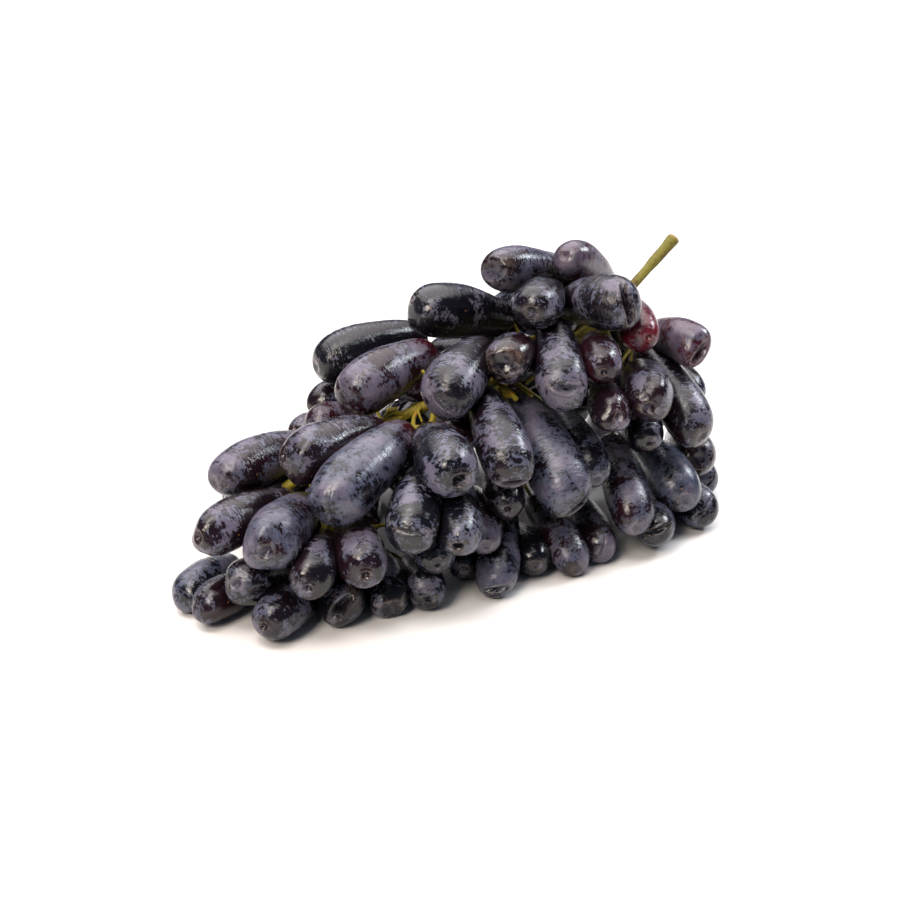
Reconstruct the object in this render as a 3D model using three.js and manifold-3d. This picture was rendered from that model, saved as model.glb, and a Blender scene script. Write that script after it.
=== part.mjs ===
// A bunch of long black grapes, cut with a short length of its stalk and laid on its side.
//
// Units are millimetres and +Z is up. +X is to the right of the photograph and +Y away from it, so -Y is the side
// that the photograph shows. The berries that it shows are placed by the pixels of their ends. Those on the far side
// are thrown onto a mound by a seeded draw. All of them then push each other apart, as they do as they swell.
import * as THREE from "three";
import { mergeVertices } from "three/addons/utils/BufferGeometryUtils.js";
import Module from "manifold-3d";

const wasm = await Module();
wasm.setup();
const { Manifold, Mesh } = wasm;
const at = (x, y, z) => new THREE.Vector3(x, y, z);

// The view of the photograph: focal length and centre in pixels, then mm and degrees.
const VIEW = { focal: 1340, centre: 450, elevation: 22, distance: 440, target: at(0, 0, 40) };

// The berries that the photograph shows: the pixels of the blunt tip and of the end at the stalk, then length and
// widest radius in mm, all read by eye. The names run round the bunch in the order that they were read.
const SHOWN = {
  b34: [[180, 599], [232, 562], 34, 6.9],
  b35: [[232, 588], [290, 565], 36, 7.6],
  b36: [[205, 613], [268, 604], 31, 6.6],
  b37: [[268, 624], [318, 596], 36, 7.4],
  b38: [[308, 594], [322, 548], 31, 7.1],
  b39: [[337, 608], [350, 575], 36, 8.0],
  b33: [[262, 552], [306, 497], 42, 9.0],
  b32: [[200, 540], [298, 487], 42, 7.9],
  b31: [[220, 484], [315, 440], 44, 8.4],
  b30: [[286, 466], [380, 428], 42, 9.0],
  b29: [[325, 522], [413, 441], 48, 9.9],
  b54: [[296, 430], [345, 430], 36, 6.5],
  b55: [[313, 424], [355, 420], 36, 6.5],
  b53: [[318, 408], [365, 392], 36, 7.0],
  b8: [[315, 368], [425, 335], 45, 9.4],
  b9: [[345, 402], [430, 352], 42, 9.3],
  b3: [[411, 310], [512, 318], 42, 9.8],
  b1: [[490, 271], [563, 274], 38, 8.2],
  b2: [[564, 260], [610, 285], 36, 7.2],
  b4: [[530, 312], [548, 292], 36, 8.3],
  b5: [[629, 306], [568, 292], 40, 9.5],
  b6: [[645, 343], [625, 305], 36, 7.0],
  b7: [[703, 348], [655, 328], 36, 8.0],
  b10: [[435, 407], [470, 350], 42, 9.6],
  b11: [[502, 362], [518, 356], 38, 8.3],
  b12: [[567, 402], [562, 326], 42, 8.7],
  b13: [[609, 372], [596, 338], 36, 7.0],
  b14: [[611, 420], [598, 392], 34, 6.8],
  b15: [[653, 410], [625, 378], 42, 8.7],
  b16: [[700, 443], [643, 362], 46, 8.8],
  b17: [[694, 398], [655, 362], 42, 7.5],
  b18: [[704, 462], [672, 425], 42, 8.0],
  b20: [[691, 492], [634, 438], 46, 9.0],
  b21: [[706, 488], [675, 455], 34, 7.4],
  b22: [[704, 510], [680, 482], 34, 7.6],
  b23: [[650, 546], [642, 515], 36, 7.0],
  b24: [[633, 529], [610, 438], 44, 7.8],
  b25: [[598, 481], [552, 408], 42, 7.4],
  b26: [[573, 508], [517, 398], 50, 10],
  b27: [[514, 482], [476, 402], 42, 8.6],
  b28: [[459, 492], [432, 438], 40, 9.2],
  b41: [[405, 552], [425, 478], 42, 8.7],
  b42: [[457, 547], [458, 500], 38, 7.0],
  b43: [[483, 545], [478, 500], 38, 6.6],
  b44: [[507, 508], [496, 470], 38, 7.0],
  b45: [[442, 563], [430, 528], 32, 7.0],
  b40: [[373, 580], [355, 535], 36, 8.0],
  b46: [[404, 597], [400, 552], 30, 7.0],
  b47: [[427, 595], [440, 565], 30, 7.0],
  b48: [[468, 570], [476, 540], 31, 6.4],
  b49: [[491, 588], [504, 512], 42, 7.2],
  b50: [[530, 570], [522, 525], 34, 6.6],
  b51: [[566, 573], [520, 505], 40, 7.0],
  b52: [[598, 556], [568, 500], 42, 7.2],
  b58: [[652, 437], [622, 405], 40, 7.4],
  b57: [[452, 432], [462, 405], 38, 7.0],
};
// Three of them stand behind the ridge, and six are deep between others: how far through the mound the tip is, 0 at
// its near skin.
const BEHIND = {
  b54: 0.42, b55: 0.38, b53: 0.45, b57: 0.14, b17: 0.25, b18: 0.1, b58: 0.1, b22: 0.08, b21: 0.12,
};

// The bunch's outline in the photograph, in pixels: no hidden berry may stand out of it.
const EDGE = [
  [173, 602], [194, 562], [192, 535], [200, 506], [215, 478], [226, 456], [290, 436], [292, 418],
  [316, 394], [312, 362], [322, 338], [410, 322], [410, 302], [422, 284], [472, 280], [474, 260],
  [495, 247], [560, 250], [586, 248], [606, 272], [632, 288], [644, 318], [676, 317], [706, 334],
  [704, 362], [694, 376], [714, 422], [716, 510], [694, 532], [666, 550], [600, 562], [510, 594],
  [430, 600], [350, 626], [275, 636], [215, 630],
];

// The mound that the tips lie on: stations along a line on the table, with the height and half width at each.
const MOUND = {
  start: [-85, -25],
  along: [165, 100],
  station: [-8, 0, 30, 60, 85, 110, 130, 150, 175, 195, 207],
  height: [18, 38, 46, 58, 74, 90, 98, 94, 80, 52, 16],
  half: [16, 30, 48, 51, 52, 54, 57, 57, 48, 30, 10],
  power: 2.4,
  widest: 0.25,
};

// The main stalk from its cut end down through the bunch, and the radii of the stalks.
const STALK = [
  [82, 75, 96], [72, 68, 86], [60, 58, 74], [42, 46, 62], [20, 34, 55],
  [-8, 18, 49], [-34, 4, 40], [-54, -9, 30],
].map((p) => at(...p));
const STALK_RADIUS = 1.9;
const LATERAL_RADIUS = 1.35;
const PEDICEL_RADIUS = 1;
const STALK_ROOM = 3.2; // a berry keeps this far from the stalk's centre line
const FIRST_LATERAL = 1; // the bare end of the stalk is its first stretch

// The hidden berries: seed of the draw, lengths, radius as a share of length, and how much of the radius stays
// inside the outline. Each layer then has its number of throws, the least distance between two tips, its size against
// the mound, how far the mound must turn away there, and sides. The inner layer fills the heart of the bunch.
const HIDDEN = {
  seed: 7, length: [34, 43], slim: [0.185, 0.205], within: 0.8,
  layers: [
    { throws: 2200, apart: 19.5, size: 1, turned: -0.1, sides: 7 },
    { throws: 300, apart: 17, size: 0.66, turned: -1, sides: 5 },
  ],
};

// A berry: its outline from the end at the stalk to the blunt, dimpled tip, as shares of length and radius.
const OUTLINE = [
  [0, 0], [0.04, 0.48], [0.2, 0.74], [0.66, 1], [0.93, 0.9], [1, 0.38], [0.955, 0],
];
const SIDES = 8;
const FULL = 1.03; // the corners stand out this much, so that the flats between them lose less
const BOW = 0.035; // the middle stands this share of the length above a straight line
const BEADS = 8; // a berry is felt by its neighbours as a string of this many balls
const NECK = 0.66; // the first ball's radius, as a share of the widest

const GAP = 0.8; // between the berries of two sprays
const PRESS = 1.9; // how deep two berries of one spray press into each other
const SPRAY = 7; // most berries on one lateral, before the strays join
const SINK = 0.7; // how far the lowest berries are flattened by the table
const DROP = 8; // a berry that is less than this above the table comes down to it
const CLEAR = 0.3; // between a berry and the stalks

const tilt = THREE.MathUtils.degToRad(VIEW.elevation);
const RIGHT = at(1, 0, 0);
const AHEAD = at(0, Math.cos(tilt), -Math.sin(tilt));
const UPWARD = at(0, Math.sin(tilt), Math.cos(tilt));
const EYE = VIEW.target.clone().addScaledVector(AHEAD, -VIEW.distance);

function rayThrough([px, py]) {
  return AHEAD.clone()
    .addScaledVector(RIGHT, (px - VIEW.centre) / VIEW.focal)
    .addScaledVector(UPWARD, (VIEW.centre - py) / VIEW.focal)
    .normalize();
}

function pixelOf(point) {
  const v = point.clone().sub(EYE);
  const depth = v.dot(AHEAD);
  return { x: (VIEW.focal * v.dot(RIGHT)) / depth, y: (-VIEW.focal * v.dot(UPWARD)) / depth, depth };
}

const moundLine = new THREE.Vector2(...MOUND.along).normalize();
const moundSide = new THREE.Vector2(-moundLine.y, moundLine.x);

// The height or half width of the mound at a station, by straight lines between the stations read.
function sectionAt(values, station, beyond) {
  const s = MOUND.station;
  if (station < s[0] || station > s[s.length - 1]) return beyond;
  const k = Math.min(s.findLastIndex((v) => v <= station), s.length - 2);
  return values[k] + ((values[k + 1] - values[k]) * (station - s[k])) / (s[k + 1] - s[k]);
}

// Below nought inside the mound, above nought outside it.
function outside(p) {
  const dx = p.x - MOUND.start[0];
  const dy = p.y - MOUND.start[1];
  const u = dx * moundLine.x + dy * moundLine.y;
  const w = dx * moundSide.x + dy * moundSide.y;
  const height = sectionAt(MOUND.height, u, 5);
  const half = sectionAt(MOUND.half, u, 3);
  const rise = Math.max(p.z - MOUND.widest * height, 0) / ((1 - MOUND.widest) * height);
  return (Math.abs(w) / half) ** MOUND.power + rise ** MOUND.power - 1;
}

// Where a line of sight meets the mound, or passes closest to it; behind is how far through it to go on.
function onMound(pixel, behind = 0) {
  const ray = rayThrough(pixel);
  const points = Array.from({ length: 601 }, (_, k) =>
    EYE.clone().addScaledVector(ray, VIEW.distance - 150 + k * 0.5));
  const depths = points.map((p) => outside(p) + Math.max(3 - p.z, 0) * 0.2);
  const first = depths.findIndex((d) => d < 0);
  if (first < 0) return points[depths.indexOf(Math.min(...depths))];
  const last = depths.findLastIndex((d) => d < 0);
  return points[Math.floor(first + behind * (last - first))];
}

// A shown berry: its tip on the mound, and its other end on its own line of sight, one length further in.
function shownBerry([name, [tipPixel, rootPixel, length, radius]]) {
  const tip = onMound(tipPixel, BEHIND[name] ?? 0);
  const ray = rayThrough(rootPixel);
  const nearest = EYE.clone().addScaledVector(ray, tip.clone().sub(EYE).dot(ray));
  const aside = nearest.distanceTo(tip);
  const root =
    aside < length
      ? nearest.addScaledVector(ray, Math.sqrt(length * length - aside * aside))
      : tip.clone().lerp(nearest, length / aside);
  return { name, tip, root, length, radius };
}

// The string of balls that stands for a berry, from the stalk end to the tip.
function beadsOf({ tip, root, length, radius }) {
  const axis = tip.clone().sub(root).divideScalar(length);
  const lift = at(0, 0, 1).addScaledVector(axis, -axis.z);
  lift.divideScalar(Math.max(lift.length(), 0.3));
  const radii = Array.from({ length: BEADS }, (_, k) => {
    const t = Math.min(1, k / (BEADS - 1) / 0.75);
    return radius * (NECK + (1 - NECK) * t * t * (3 - 2 * t));
  });
  const run = length - radii[0] - radii[BEADS - 1];
  return radii.map((r, k) => {
    const share = (radii[0] + (run * k) / (BEADS - 1)) / length;
    const centre = root.clone().lerp(tip, share).addScaledVector(lift, BOW * length * 4 * share * (1 - share));
    return { centre, r, share };
  });
}

function stalkAt(s) {
  const k = Math.min(Math.max(s, 0), STALK.length - 1.001);
  return STALK[Math.floor(k)].clone().lerp(STALK[Math.floor(k) + 1], k % 1);
}

// How far down the stalk the place nearest to a point is, in control points.
function nearestOnStalk(p) {
  let best = { distance: Infinity, s: 0 };
  for (let k = 0; k < STALK.length - 1; k++) {
    const line = new THREE.Line3(STALK[k], STALK[k + 1]);
    const t = line.closestPointToPointParameter(p, true);
    const distance = line.at(t, at(0, 0, 0)).distanceTo(p);
    if (distance < best.distance) best = { distance, s: k + t };
  }
  return best.s;
}

// The pair of balls, one of each string, that leaves the least room.
function closest(a, b) {
  let best = { room: Infinity };
  for (const p of a)
    for (const q of b) {
      const distance = p.centre.distanceTo(q.centre);
      const room = distance - p.r - q.r;
      if (room < best.room) best = { room, distance, p, q };
    }
  return best;
}

const stalkPoints = Array.from({ length: 33 }, (_, k) =>
  stalkAt(FIRST_LATERAL + ((STALK.length - 1 - FIRST_LATERAL) * k) / 32));

// A push on one ball, shared between the two ends of its berry.
function push(shift, share, direction, amount) {
  const w = amount / (share * share + (1 - share) * (1 - share));
  shift.tip.addScaledVector(direction, w * share);
  shift.root.addScaledVector(direction, w * (1 - share));
}

// Pulls a point back to where it was placed: firmly across the line of sight, loosely along it.
function pullBack(point, home, across, along) {
  const sight = home.clone().sub(EYE).normalize();
  const back = home.clone().sub(point);
  const deep = sight.clone().multiplyScalar(back.dot(sight));
  point.addScaledVector(back.sub(deep), across).addScaledVector(deep, along);
}

// Moves the berries until each keeps its gap to the others and to the stalk, and the low ones lie on the table.
// Linked berries are drawn together until they press into each other. The first `still` berries don't move, and the
// first `firm` ones give less way than the rest.
function settle(berries, { passes, gap, still = 0, firm = 0, pull, links = new Set() }) {
  const homes = berries.map(({ tip, root }) => ({ tip: tip.clone(), root: root.clone() }));
  for (let pass = 0; pass < passes; pass++) {
    const strings = berries.map(beadsOf);
    const middles = berries.map(({ tip, root }) => tip.clone().add(root).multiplyScalar(0.5));
    const shifts = berries.map(() => ({ tip: at(0, 0, 0), root: at(0, 0, 0) }));
    for (let i = 0; i < berries.length; i++)
      for (let j = Math.max(i + 1, still); j < berries.length; j++) {
        if (middles[i].distanceTo(middles[j]) > (berries[i].length + berries[j].length) / 2 + 3) continue;
        const { room, distance, p, q } = closest(strings[i], strings[j]);
        const linked = links.has(i * 1000 + j);
        const wanted = linked ? -PRESS : gap;
        if (room >= wanted && !linked) continue;
        const way = p.centre.clone().sub(q.centre).divideScalar(distance);
        const give = i < still ? 0 : i < firm && j >= firm ? 0.08 : 0.225;
        push(shifts[i], p.share, way, (wanted - room) * give);
        push(shifts[j], q.share, way, -(wanted - room) * (0.45 - give));
      }
    const fade = Math.max(0, 1 - pass / (passes * 0.85));
    for (let i = still; i < berries.length; i++) {
      const { tip, root, length } = berries[i];
      const near = closest(strings[i], stalkPoints.map((centre) => ({ centre, r: STALK_ROOM })));
      if (near.room < 0)
        push(shifts[i], near.p.share, near.p.centre.clone().sub(near.q.centre).divideScalar(near.distance),
          -near.room * 0.5);
      const lowest = strings[i].reduce((a, b) => (b.centre.z - b.r < a.centre.z - a.r ? b : a));
      const under = -SINK - (lowest.centre.z - lowest.r);
      if (under > -DROP) push(shifts[i], lowest.share, at(0, 0, 1), under * (under > 0 ? 0.8 : 0.1));
      tip.add(shifts[i].tip);
      root.add(shifts[i].root);
      pullBack(tip, homes[i].tip, fade * pull[0], fade * pull[1]);
      pullBack(root, homes[i].root, fade * pull[2], fade * pull[3]);
      const middle = tip.clone().add(root).multiplyScalar(0.5);
      const half = tip.clone().sub(root).setLength(length / 2);
      // Whole thousandths, so that the last digits of a sum never decide where a berry ends up.
      tip.copy(middle).add(half).multiplyScalar(1000).round().multiplyScalar(0.001);
      root.copy(middle).sub(half).multiplyScalar(1000).round().multiplyScalar(0.001);
    }
  }
}

function* draws(seed) {
  for (let state = seed; ; ) {
    state = (state * 1664525 + 1013904223) % 4294967296;
    yield state / 4294967296;
  }
}

// A place on the mound: a station along it, and an angle over it from -90 at the near edge to 90 at the far one.
function overMound(station, angle, drop) {
  const height = sectionAt(MOUND.height, station, 5);
  const half = sectionAt(MOUND.half, station, 3);
  const s = Math.sin(THREE.MathUtils.degToRad(angle));
  const c = Math.cos(THREE.MathUtils.degToRad(angle));
  const k = (Math.abs(s) ** MOUND.power + Math.abs(c) ** MOUND.power) ** (-1 / MOUND.power);
  const base = MOUND.widest * height;
  const z = (base + (height - base) * c * k) * (angle > 70 ? drop : 1);
  const w = half * s * k;
  return at(
    MOUND.start[0] + moundLine.x * station + moundSide.x * w,
    MOUND.start[1] + moundLine.y * station + moundSide.y * w,
    z);
}

function facesAway(p) {
  const slope = ["x", "y", "z"].map((k) => {
    const more = p.clone();
    const less = p.clone();
    more[k] += 0.5;
    less[k] -= 0.5;
    return outside(more) - outside(less);
  });
  return at(...slope).normalize().dot(p.clone().sub(EYE).normalize());
}

// Whether balls stand inside the bunch's outline in the photograph, all but a share of their radius.
function insideEdge(balls, share) {
  return balls.every(({ centre, r }) => {
    const { x, y, depth } = pixelOf(centre);
    const px = x + VIEW.centre;
    const py = y + VIEW.centre;
    let inside = false;
    let nearest = Infinity;
    EDGE.forEach(([ax, ay], k) => {
      const [bx, by] = EDGE[(k + 1) % EDGE.length];
      if (ay > py !== by > py && px < ax + ((bx - ax) * (py - ay)) / (by - ay)) inside = !inside;
      const t = ((px - ax) * (bx - ax) + (py - ay) * (by - ay)) / ((bx - ax) ** 2 + (by - ay) ** 2);
      const u = Math.min(Math.max(t, 0), 1);
      nearest = Math.min(nearest, Math.hypot(px - ax - (bx - ax) * u, py - ay - (by - ay) * u));
    });
    return inside && nearest > (VIEW.focal * r * share) / depth;
  });
}

// The berries that the photograph can't show: thrown at the mound, and kept where it turns away, inside the outline
// and where no other tip is near.
function hiddenBerries(shown) {
  const draw = draws(HIDDEN.seed);
  const between = (low, high) => low + (high - low) * draw.next().value;
  const kept = [];
  for (const { throws, apart, size, turned, sides } of HIDDEN.layers)
    for (let k = 0; k < throws; k++) {
      const station = between(-5, 203);
      const angle = between(-60, 90);
      const drop = between(0, 1);
      const length = between(...HIDDEN.length);
      const radius = length * between(...HIDDEN.slim);
      const tip = overMound(station, angle, drop);
      if (facesAway(tip) < turned) continue;
      const ridge = overMound(station, 0, 1);
      tip.sub(ridge).multiplyScalar(size).add(ridge.setZ(ridge.z * size));
      tip.z = Math.max(tip.z, radius + 0.5);
      if (!insideEdge([{ centre: tip, r: radius }], HIDDEN.within)) continue;
      if ([...shown, ...kept].some((b) => b.tip.distanceTo(tip) < apart)) continue;
      const foot = stalkAt(Math.max(nearestOnStalk(tip) - 0.45, 2.2));
      const root = tip.clone().addScaledVector(tip.clone().sub(foot).normalize(), -length);
      kept.push({ name: `hidden${kept.length + 1}`, tip, root, length, radius, sides });
    }
  return kept;
}

// Sorts the berries into sprays: the closest pairs join first, up to the size of a spray, then the strays.
// The joins are the links that hold each spray together.
function spraysOf(berries) {
  const strings = berries.map(beadsOf);
  const pairs = [];
  for (let i = 0; i < berries.length; i++)
    for (let j = i + 1; j < berries.length; j++) {
      const room = closest(strings[i], strings[j]).room;
      if (room < 9) pairs.push({ i, j, cost: Math.max(room, 0) + 0.25 * berries[i].root.distanceTo(berries[j].root) });
    }
  pairs.sort((a, b) => a.cost - b.cost);
  const of = berries.map((_, k) => k);
  const size = (g) => of.filter((v) => v === g).length;
  const links = new Set();
  const join = (wanted) => {
    for (const { i, j } of pairs) {
      const [a, b] = [of[i], of[j]];
      if (a === b || !wanted(size(a), size(b))) continue;
      links.add(i * 1000 + j);
      of.forEach((g, k) => g === b && (of[k] = a));
    }
  };
  join((a, b) => a + b <= SPRAY);
  join((a, b) => Math.min(a, b) <= 2);
  return { of, links };
}

function solidOf(geometry) {
  const bare = new THREE.BufferGeometry().setAttribute("position", geometry.getAttribute("position"));
  if (geometry.index) bare.setIndex(geometry.index);
  const merged = mergeVertices(bare, 1e-4);
  return new Manifold(new Mesh({
    numProp: 3,
    vertProperties: new Float32Array(merged.attributes.position.array),
    triVerts: new Uint32Array(merged.index.array),
  }));
}

// A berry's solid, turned from its outline, bowed upward and laid from its root to its tip.
function berrySolid({ tip, root, length, radius, sides = SIDES }) {
  const outline = OUTLINE.map(([along, out]) => new THREE.Vector2(out * radius * FULL, along * length));
  const body = new THREE.LatheGeometry(outline, sides);
  const axis = tip.clone().sub(root).normalize();
  const lift = at(0, 0, 1).addScaledVector(axis, -axis.z);
  lift.divideScalar(Math.max(lift.length(), 0.3));
  body.applyQuaternion(new THREE.Quaternion().setFromUnitVectors(at(0, 1, 0), axis));
  const p = body.getAttribute("position");
  for (let k = 0; k < p.count; k++) {
    const v = at(p.getX(k), p.getY(k), p.getZ(k));
    const share = Math.min(Math.max(v.dot(axis) / length, 0), 1);
    v.addScaledVector(lift, BOW * length * 4 * share * (1 - share)).add(root);
    p.setXYZ(k, v.x, v.y, v.z);
  }
  return solidOf(body);
}

// A stick swept through a few points, thicker all round by `more`.
function stick({ points, radius, sides, steps }, more = 0) {
  const ring = new THREE.Shape(Array.from({ length: sides }, (_, k) => {
    const a = (2 * Math.PI * k) / sides;
    return new THREE.Vector2((radius + more) * Math.cos(a), (radius + more) * Math.sin(a));
  }));
  return solidOf(new THREE.ExtrudeGeometry(ring, {
    steps, bevelEnabled: false, extrudePath: new THREE.CatmullRomCurve3(points),
  }));
}

function middleOf(points) {
  return points.reduce((a, b) => a.clone().add(b)).divideScalar(points.length);
}

function pushClear(point, balls, room) {
  for (const { centre, r } of balls) {
    const distance = point.distanceTo(centre);
    if (distance < r + room)
      point.addScaledVector(point.clone().sub(centre).divideScalar(distance), r + room - distance);
  }
}

// A path between two points, bent clear of the berries' balls where it can be. The far end may give way too.
function clearPath(from, to, balls, room, count, loose) {
  const path = Array.from({ length: count + 1 }, (_, k) => from.clone().lerp(to, k / count));
  for (let pass = 0; pass < 80; pass++) {
    for (let k = 1; k < count; k++) {
      path[k].lerp(path[k - 1].clone().add(path[k + 1]).multiplyScalar(0.5), 0.3);
      pushClear(path[k], balls, room);
    }
    if (loose) pushClear(path[count], balls, room);
  }
  return path;
}

const shown = Object.entries(SHOWN).map(shownBerry);
settle(shown, { passes: 300, gap: 0.4, pull: [0.3, 0.004, 0.08, 0.003] });
const thrown = [...shown, ...hiddenBerries(shown)];
settle(thrown, { passes: 200, gap: 0.6, still: shown.length, pull: [0.1, 0.01, 0.02, 0] });
// Those that the others push out of the outline, or still press, are taken off again.
const strings = thrown.map(beadsOf);
const berries = thrown.filter((_, i) => {
  if (i < shown.length) return true;
  const free = strings.every((other, j) => j === i || closest(strings[i], other).room > -0.5);
  return free && insideEdge(strings[i], HIDDEN.within);
});
const { of: sprayOf, links } = spraysOf(berries);
settle(berries, { passes: 200, gap: GAP, firm: shown.length, pull: [0.05, 0.003, 0.02, 0.001], links });

// The sprays, from the cut end of the stalk down.
const placeOf = (spray) => nearestOnStalk(middleOf(spray.map((b) => b.root)));
const sprays = [...new Set(sprayOf)]
  .map((g) => berries.filter((_, k) => sprayOf[k] === g))
  .sort((a, b) => placeOf(a) - placeOf(b));

// The stalk: one stick down the bunch, a lateral to each spray, and a pedicel from it to each berry.
const stalkCurve = new THREE.CatmullRomCurve3(STALK);
const balls = berries.flatMap(beadsOf);
const paths = [{ points: STALK, radius: STALK_RADIUS, sides: 7, steps: 14 }];
for (const spray of sprays) {
  const sockets = spray.map(({ tip, root, length }) => root.clone().lerp(tip, -CLEAR / length));
  const s = Math.max(placeOf(spray) - 0.4, FIRST_LATERAL + 0.3);
  const foot = stalkCurve.getPoint(s / (STALK.length - 1));
  const lateral = clearPath(foot, middleOf(sockets).lerp(foot, 0.06), balls, LATERAL_RADIUS + 0.6, 4, true);
  paths.push({ points: lateral, radius: LATERAL_RADIUS, sides: 4, steps: 4 });
  const bends = new THREE.CatmullRomCurve3(lateral).getSpacedPoints(4);
  const starts = Array.from({ length: 14 }, (_, k) => 0.7 + (3.29 * k) / 13).map((t) =>
    bends[Math.floor(t)].clone().lerp(bends[Math.floor(t) + 1], t % 1));
  for (const socket of sockets) {
    starts.sort((a, b) => b.distanceTo(socket) - a.distanceTo(socket));
    const start = starts.pop();
    const points = clearPath(start, socket, balls, PEDICEL_RADIUS + 0.4, 3, false);
    paths.push({ points, radius: PEDICEL_RADIUS, sides: 3, steps: 2 });
  }
}
const stem = Manifold.union(paths.map((p) => stick(p)));
const room = Manifold.union(paths.map((p) => stick(p, CLEAR)));

// The table's plane takes off what the lowest berries sink into it, so that they rest on small flat spots.
const table = solidOf(new THREE.BoxGeometry(600, 600, 40).translate(0, 0, -20));
const solids = sprays.map((spray) => {
  const pieces = Manifold.union(spray.map((b) => berrySolid(b))).subtract(room).subtract(table).decompose();
  return pieces.sort((a, b) => b.volume() - a.volume())[0];
});
const { min, max } = Manifold.union([stem, ...solids]).boundingBox();
const recentre = [-(min[0] + max[0]) / 2, -(min[1] + max[1]) / 2, 0];

const bunch = new THREE.Group();
bunch.name = "bunch_of_grapes";

function add(name, solid, color, roughness) {
  const { vertProperties, triVerts } = solid.getMesh();
  const geometry = new THREE.BufferGeometry()
    .setAttribute("position", new THREE.BufferAttribute(new Float32Array(vertProperties), 3))
    .setIndex(new THREE.BufferAttribute(new Uint32Array(triVerts), 1));
  const mesh = new THREE.Mesh(geometry, new THREE.MeshStandardMaterial({ color, roughness }));
  mesh.name = name;
  mesh.position.set(...recentre);
  bunch.add(mesh);
}
add("stem", stem, 0x8a8a3c, 0.7);
solids.forEach((solid, k) => add(`berries_spray_${String(k + 1).padStart(2, "0")}`, solid, 0x1c1826, 0.4));

export default bunch;
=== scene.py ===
"""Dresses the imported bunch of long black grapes.

The berries of one spray are fused in the frame, so the rule that places them is worked out again here, in
millimetres and from the same values. Each fine berry then stands where its plain one does, but for four
hidden ones, which move in the fine model alone.
"""
import logging
import math
from collections.abc import Callable, Iterator
from dataclasses import dataclass, field
from enum import Enum

import bmesh
import bpy
import numpy as np
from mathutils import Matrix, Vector


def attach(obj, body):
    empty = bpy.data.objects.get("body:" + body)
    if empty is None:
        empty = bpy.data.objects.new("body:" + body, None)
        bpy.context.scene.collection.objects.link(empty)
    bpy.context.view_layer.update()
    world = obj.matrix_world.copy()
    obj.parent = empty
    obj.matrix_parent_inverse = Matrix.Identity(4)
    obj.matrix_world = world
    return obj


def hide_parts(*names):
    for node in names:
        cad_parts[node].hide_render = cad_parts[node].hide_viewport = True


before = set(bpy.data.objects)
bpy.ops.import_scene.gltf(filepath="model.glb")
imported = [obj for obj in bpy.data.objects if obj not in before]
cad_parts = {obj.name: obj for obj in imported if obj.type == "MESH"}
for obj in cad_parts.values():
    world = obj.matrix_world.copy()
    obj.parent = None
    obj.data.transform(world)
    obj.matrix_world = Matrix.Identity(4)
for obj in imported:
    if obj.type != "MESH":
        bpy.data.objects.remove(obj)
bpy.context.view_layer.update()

LOG = logging.getLogger("grapes")
MM = 0.001
SENSOR = 36.0  # the camera's sensor width in mm
TO_ORIGIN = np.array([-6.538, -26.001, 0.0])  # from the photo's frame to the model's, in mm

Pixel = tuple[float, float]


def smooth(low: float, high: float, value: np.ndarray) -> np.ndarray:
    """Rises from nought at low to one at high, with soft ends."""
    t = np.clip((value - low) / (high - low), 0.0, 1.0)
    return t * t * (3.0 - 2.0 * t)


def unit(vector: np.ndarray) -> np.ndarray:
    """Scales vectors to length one, along their last axis."""
    return vector / np.linalg.norm(vector, axis=-1, keepdims=True)


@dataclass(frozen=True)
class PhotoView:
    """The view of the photograph, in the photo's frame: pixels, degrees and mm."""

    focal: float = 1340.0
    centre: float = 450.0
    elevation: float = 22.0
    distance: float = 440.0
    target: Pixel = (0.0, 0.0, 40.0)

    @property
    def ahead(self) -> np.ndarray:
        """The direction that the camera looks in."""
        tilt = math.radians(self.elevation)
        return np.array([0.0, math.cos(tilt), -math.sin(tilt)])

    @property
    def upward(self) -> np.ndarray:
        """The picture's upward direction."""
        tilt = math.radians(self.elevation)
        return np.array([0.0, math.sin(tilt), math.cos(tilt)])

    @property
    def eye(self) -> np.ndarray:
        """The camera's place."""
        return np.array(self.target) - self.distance * self.ahead

    def ray(self, pixel: Pixel) -> np.ndarray:
        """The line of sight through a pixel."""
        aside, above = (pixel[0] - self.centre) / self.focal, (self.centre - pixel[1]) / self.focal
        return unit(self.ahead + np.array([aside, 0.0, 0.0]) + above * self.upward)

    def point(self, across: float, down: float, depth: float) -> np.ndarray:
        """The place at a pixel and a depth."""
        ray = self.ray((across, down))
        return self.eye + ray * depth / (ray @ self.ahead)

    def pixels(self, points: np.ndarray) -> tuple[np.ndarray, np.ndarray, np.ndarray]:
        """Gives the pixels, across and down, and the depths of points."""
        offset = points - self.eye
        depth = offset @ self.ahead
        across = self.centre + self.focal * offset[..., 0] / depth
        return across, self.centre - self.focal * (offset @ self.upward) / depth, depth


VIEW = PhotoView()


class Tip(Enum):
    """The forms of a berry's blunt tip.

    Each gives the pit's depth, half length and half width, the height of its rim, the number of lobes and how
    far they stand out. All but the number are shares of the berry's radius.
    """

    PLAIN = (0.05, 0.18, 0.16, 0.012, 2, 0.02)
    NAVEL = (0.13, 0.12, 0.105, 0.030, 3, 0.02)
    RING = (0.15, 0.36, 0.31, 0.045, 2, 0.02)
    FUNNEL = (0.27, 0.19, 0.13, 0.028, 3, 0.03)
    CLEFT = (0.42, 0.60, 0.12, 0.060, 2, 0.06)
    LINE = (0.11, 0.50, 0.055, 0.020, 2, 0.025)
    LIP = (0.22, 0.46, 0.10, 0.055, 2, 0.045)
    HEART = (0.40, 0.46, 0.17, 0.045, 2, 0.12)
    LOBED = (0.17, 0.18, 0.15, 0.030, 3, 0.085)


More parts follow.
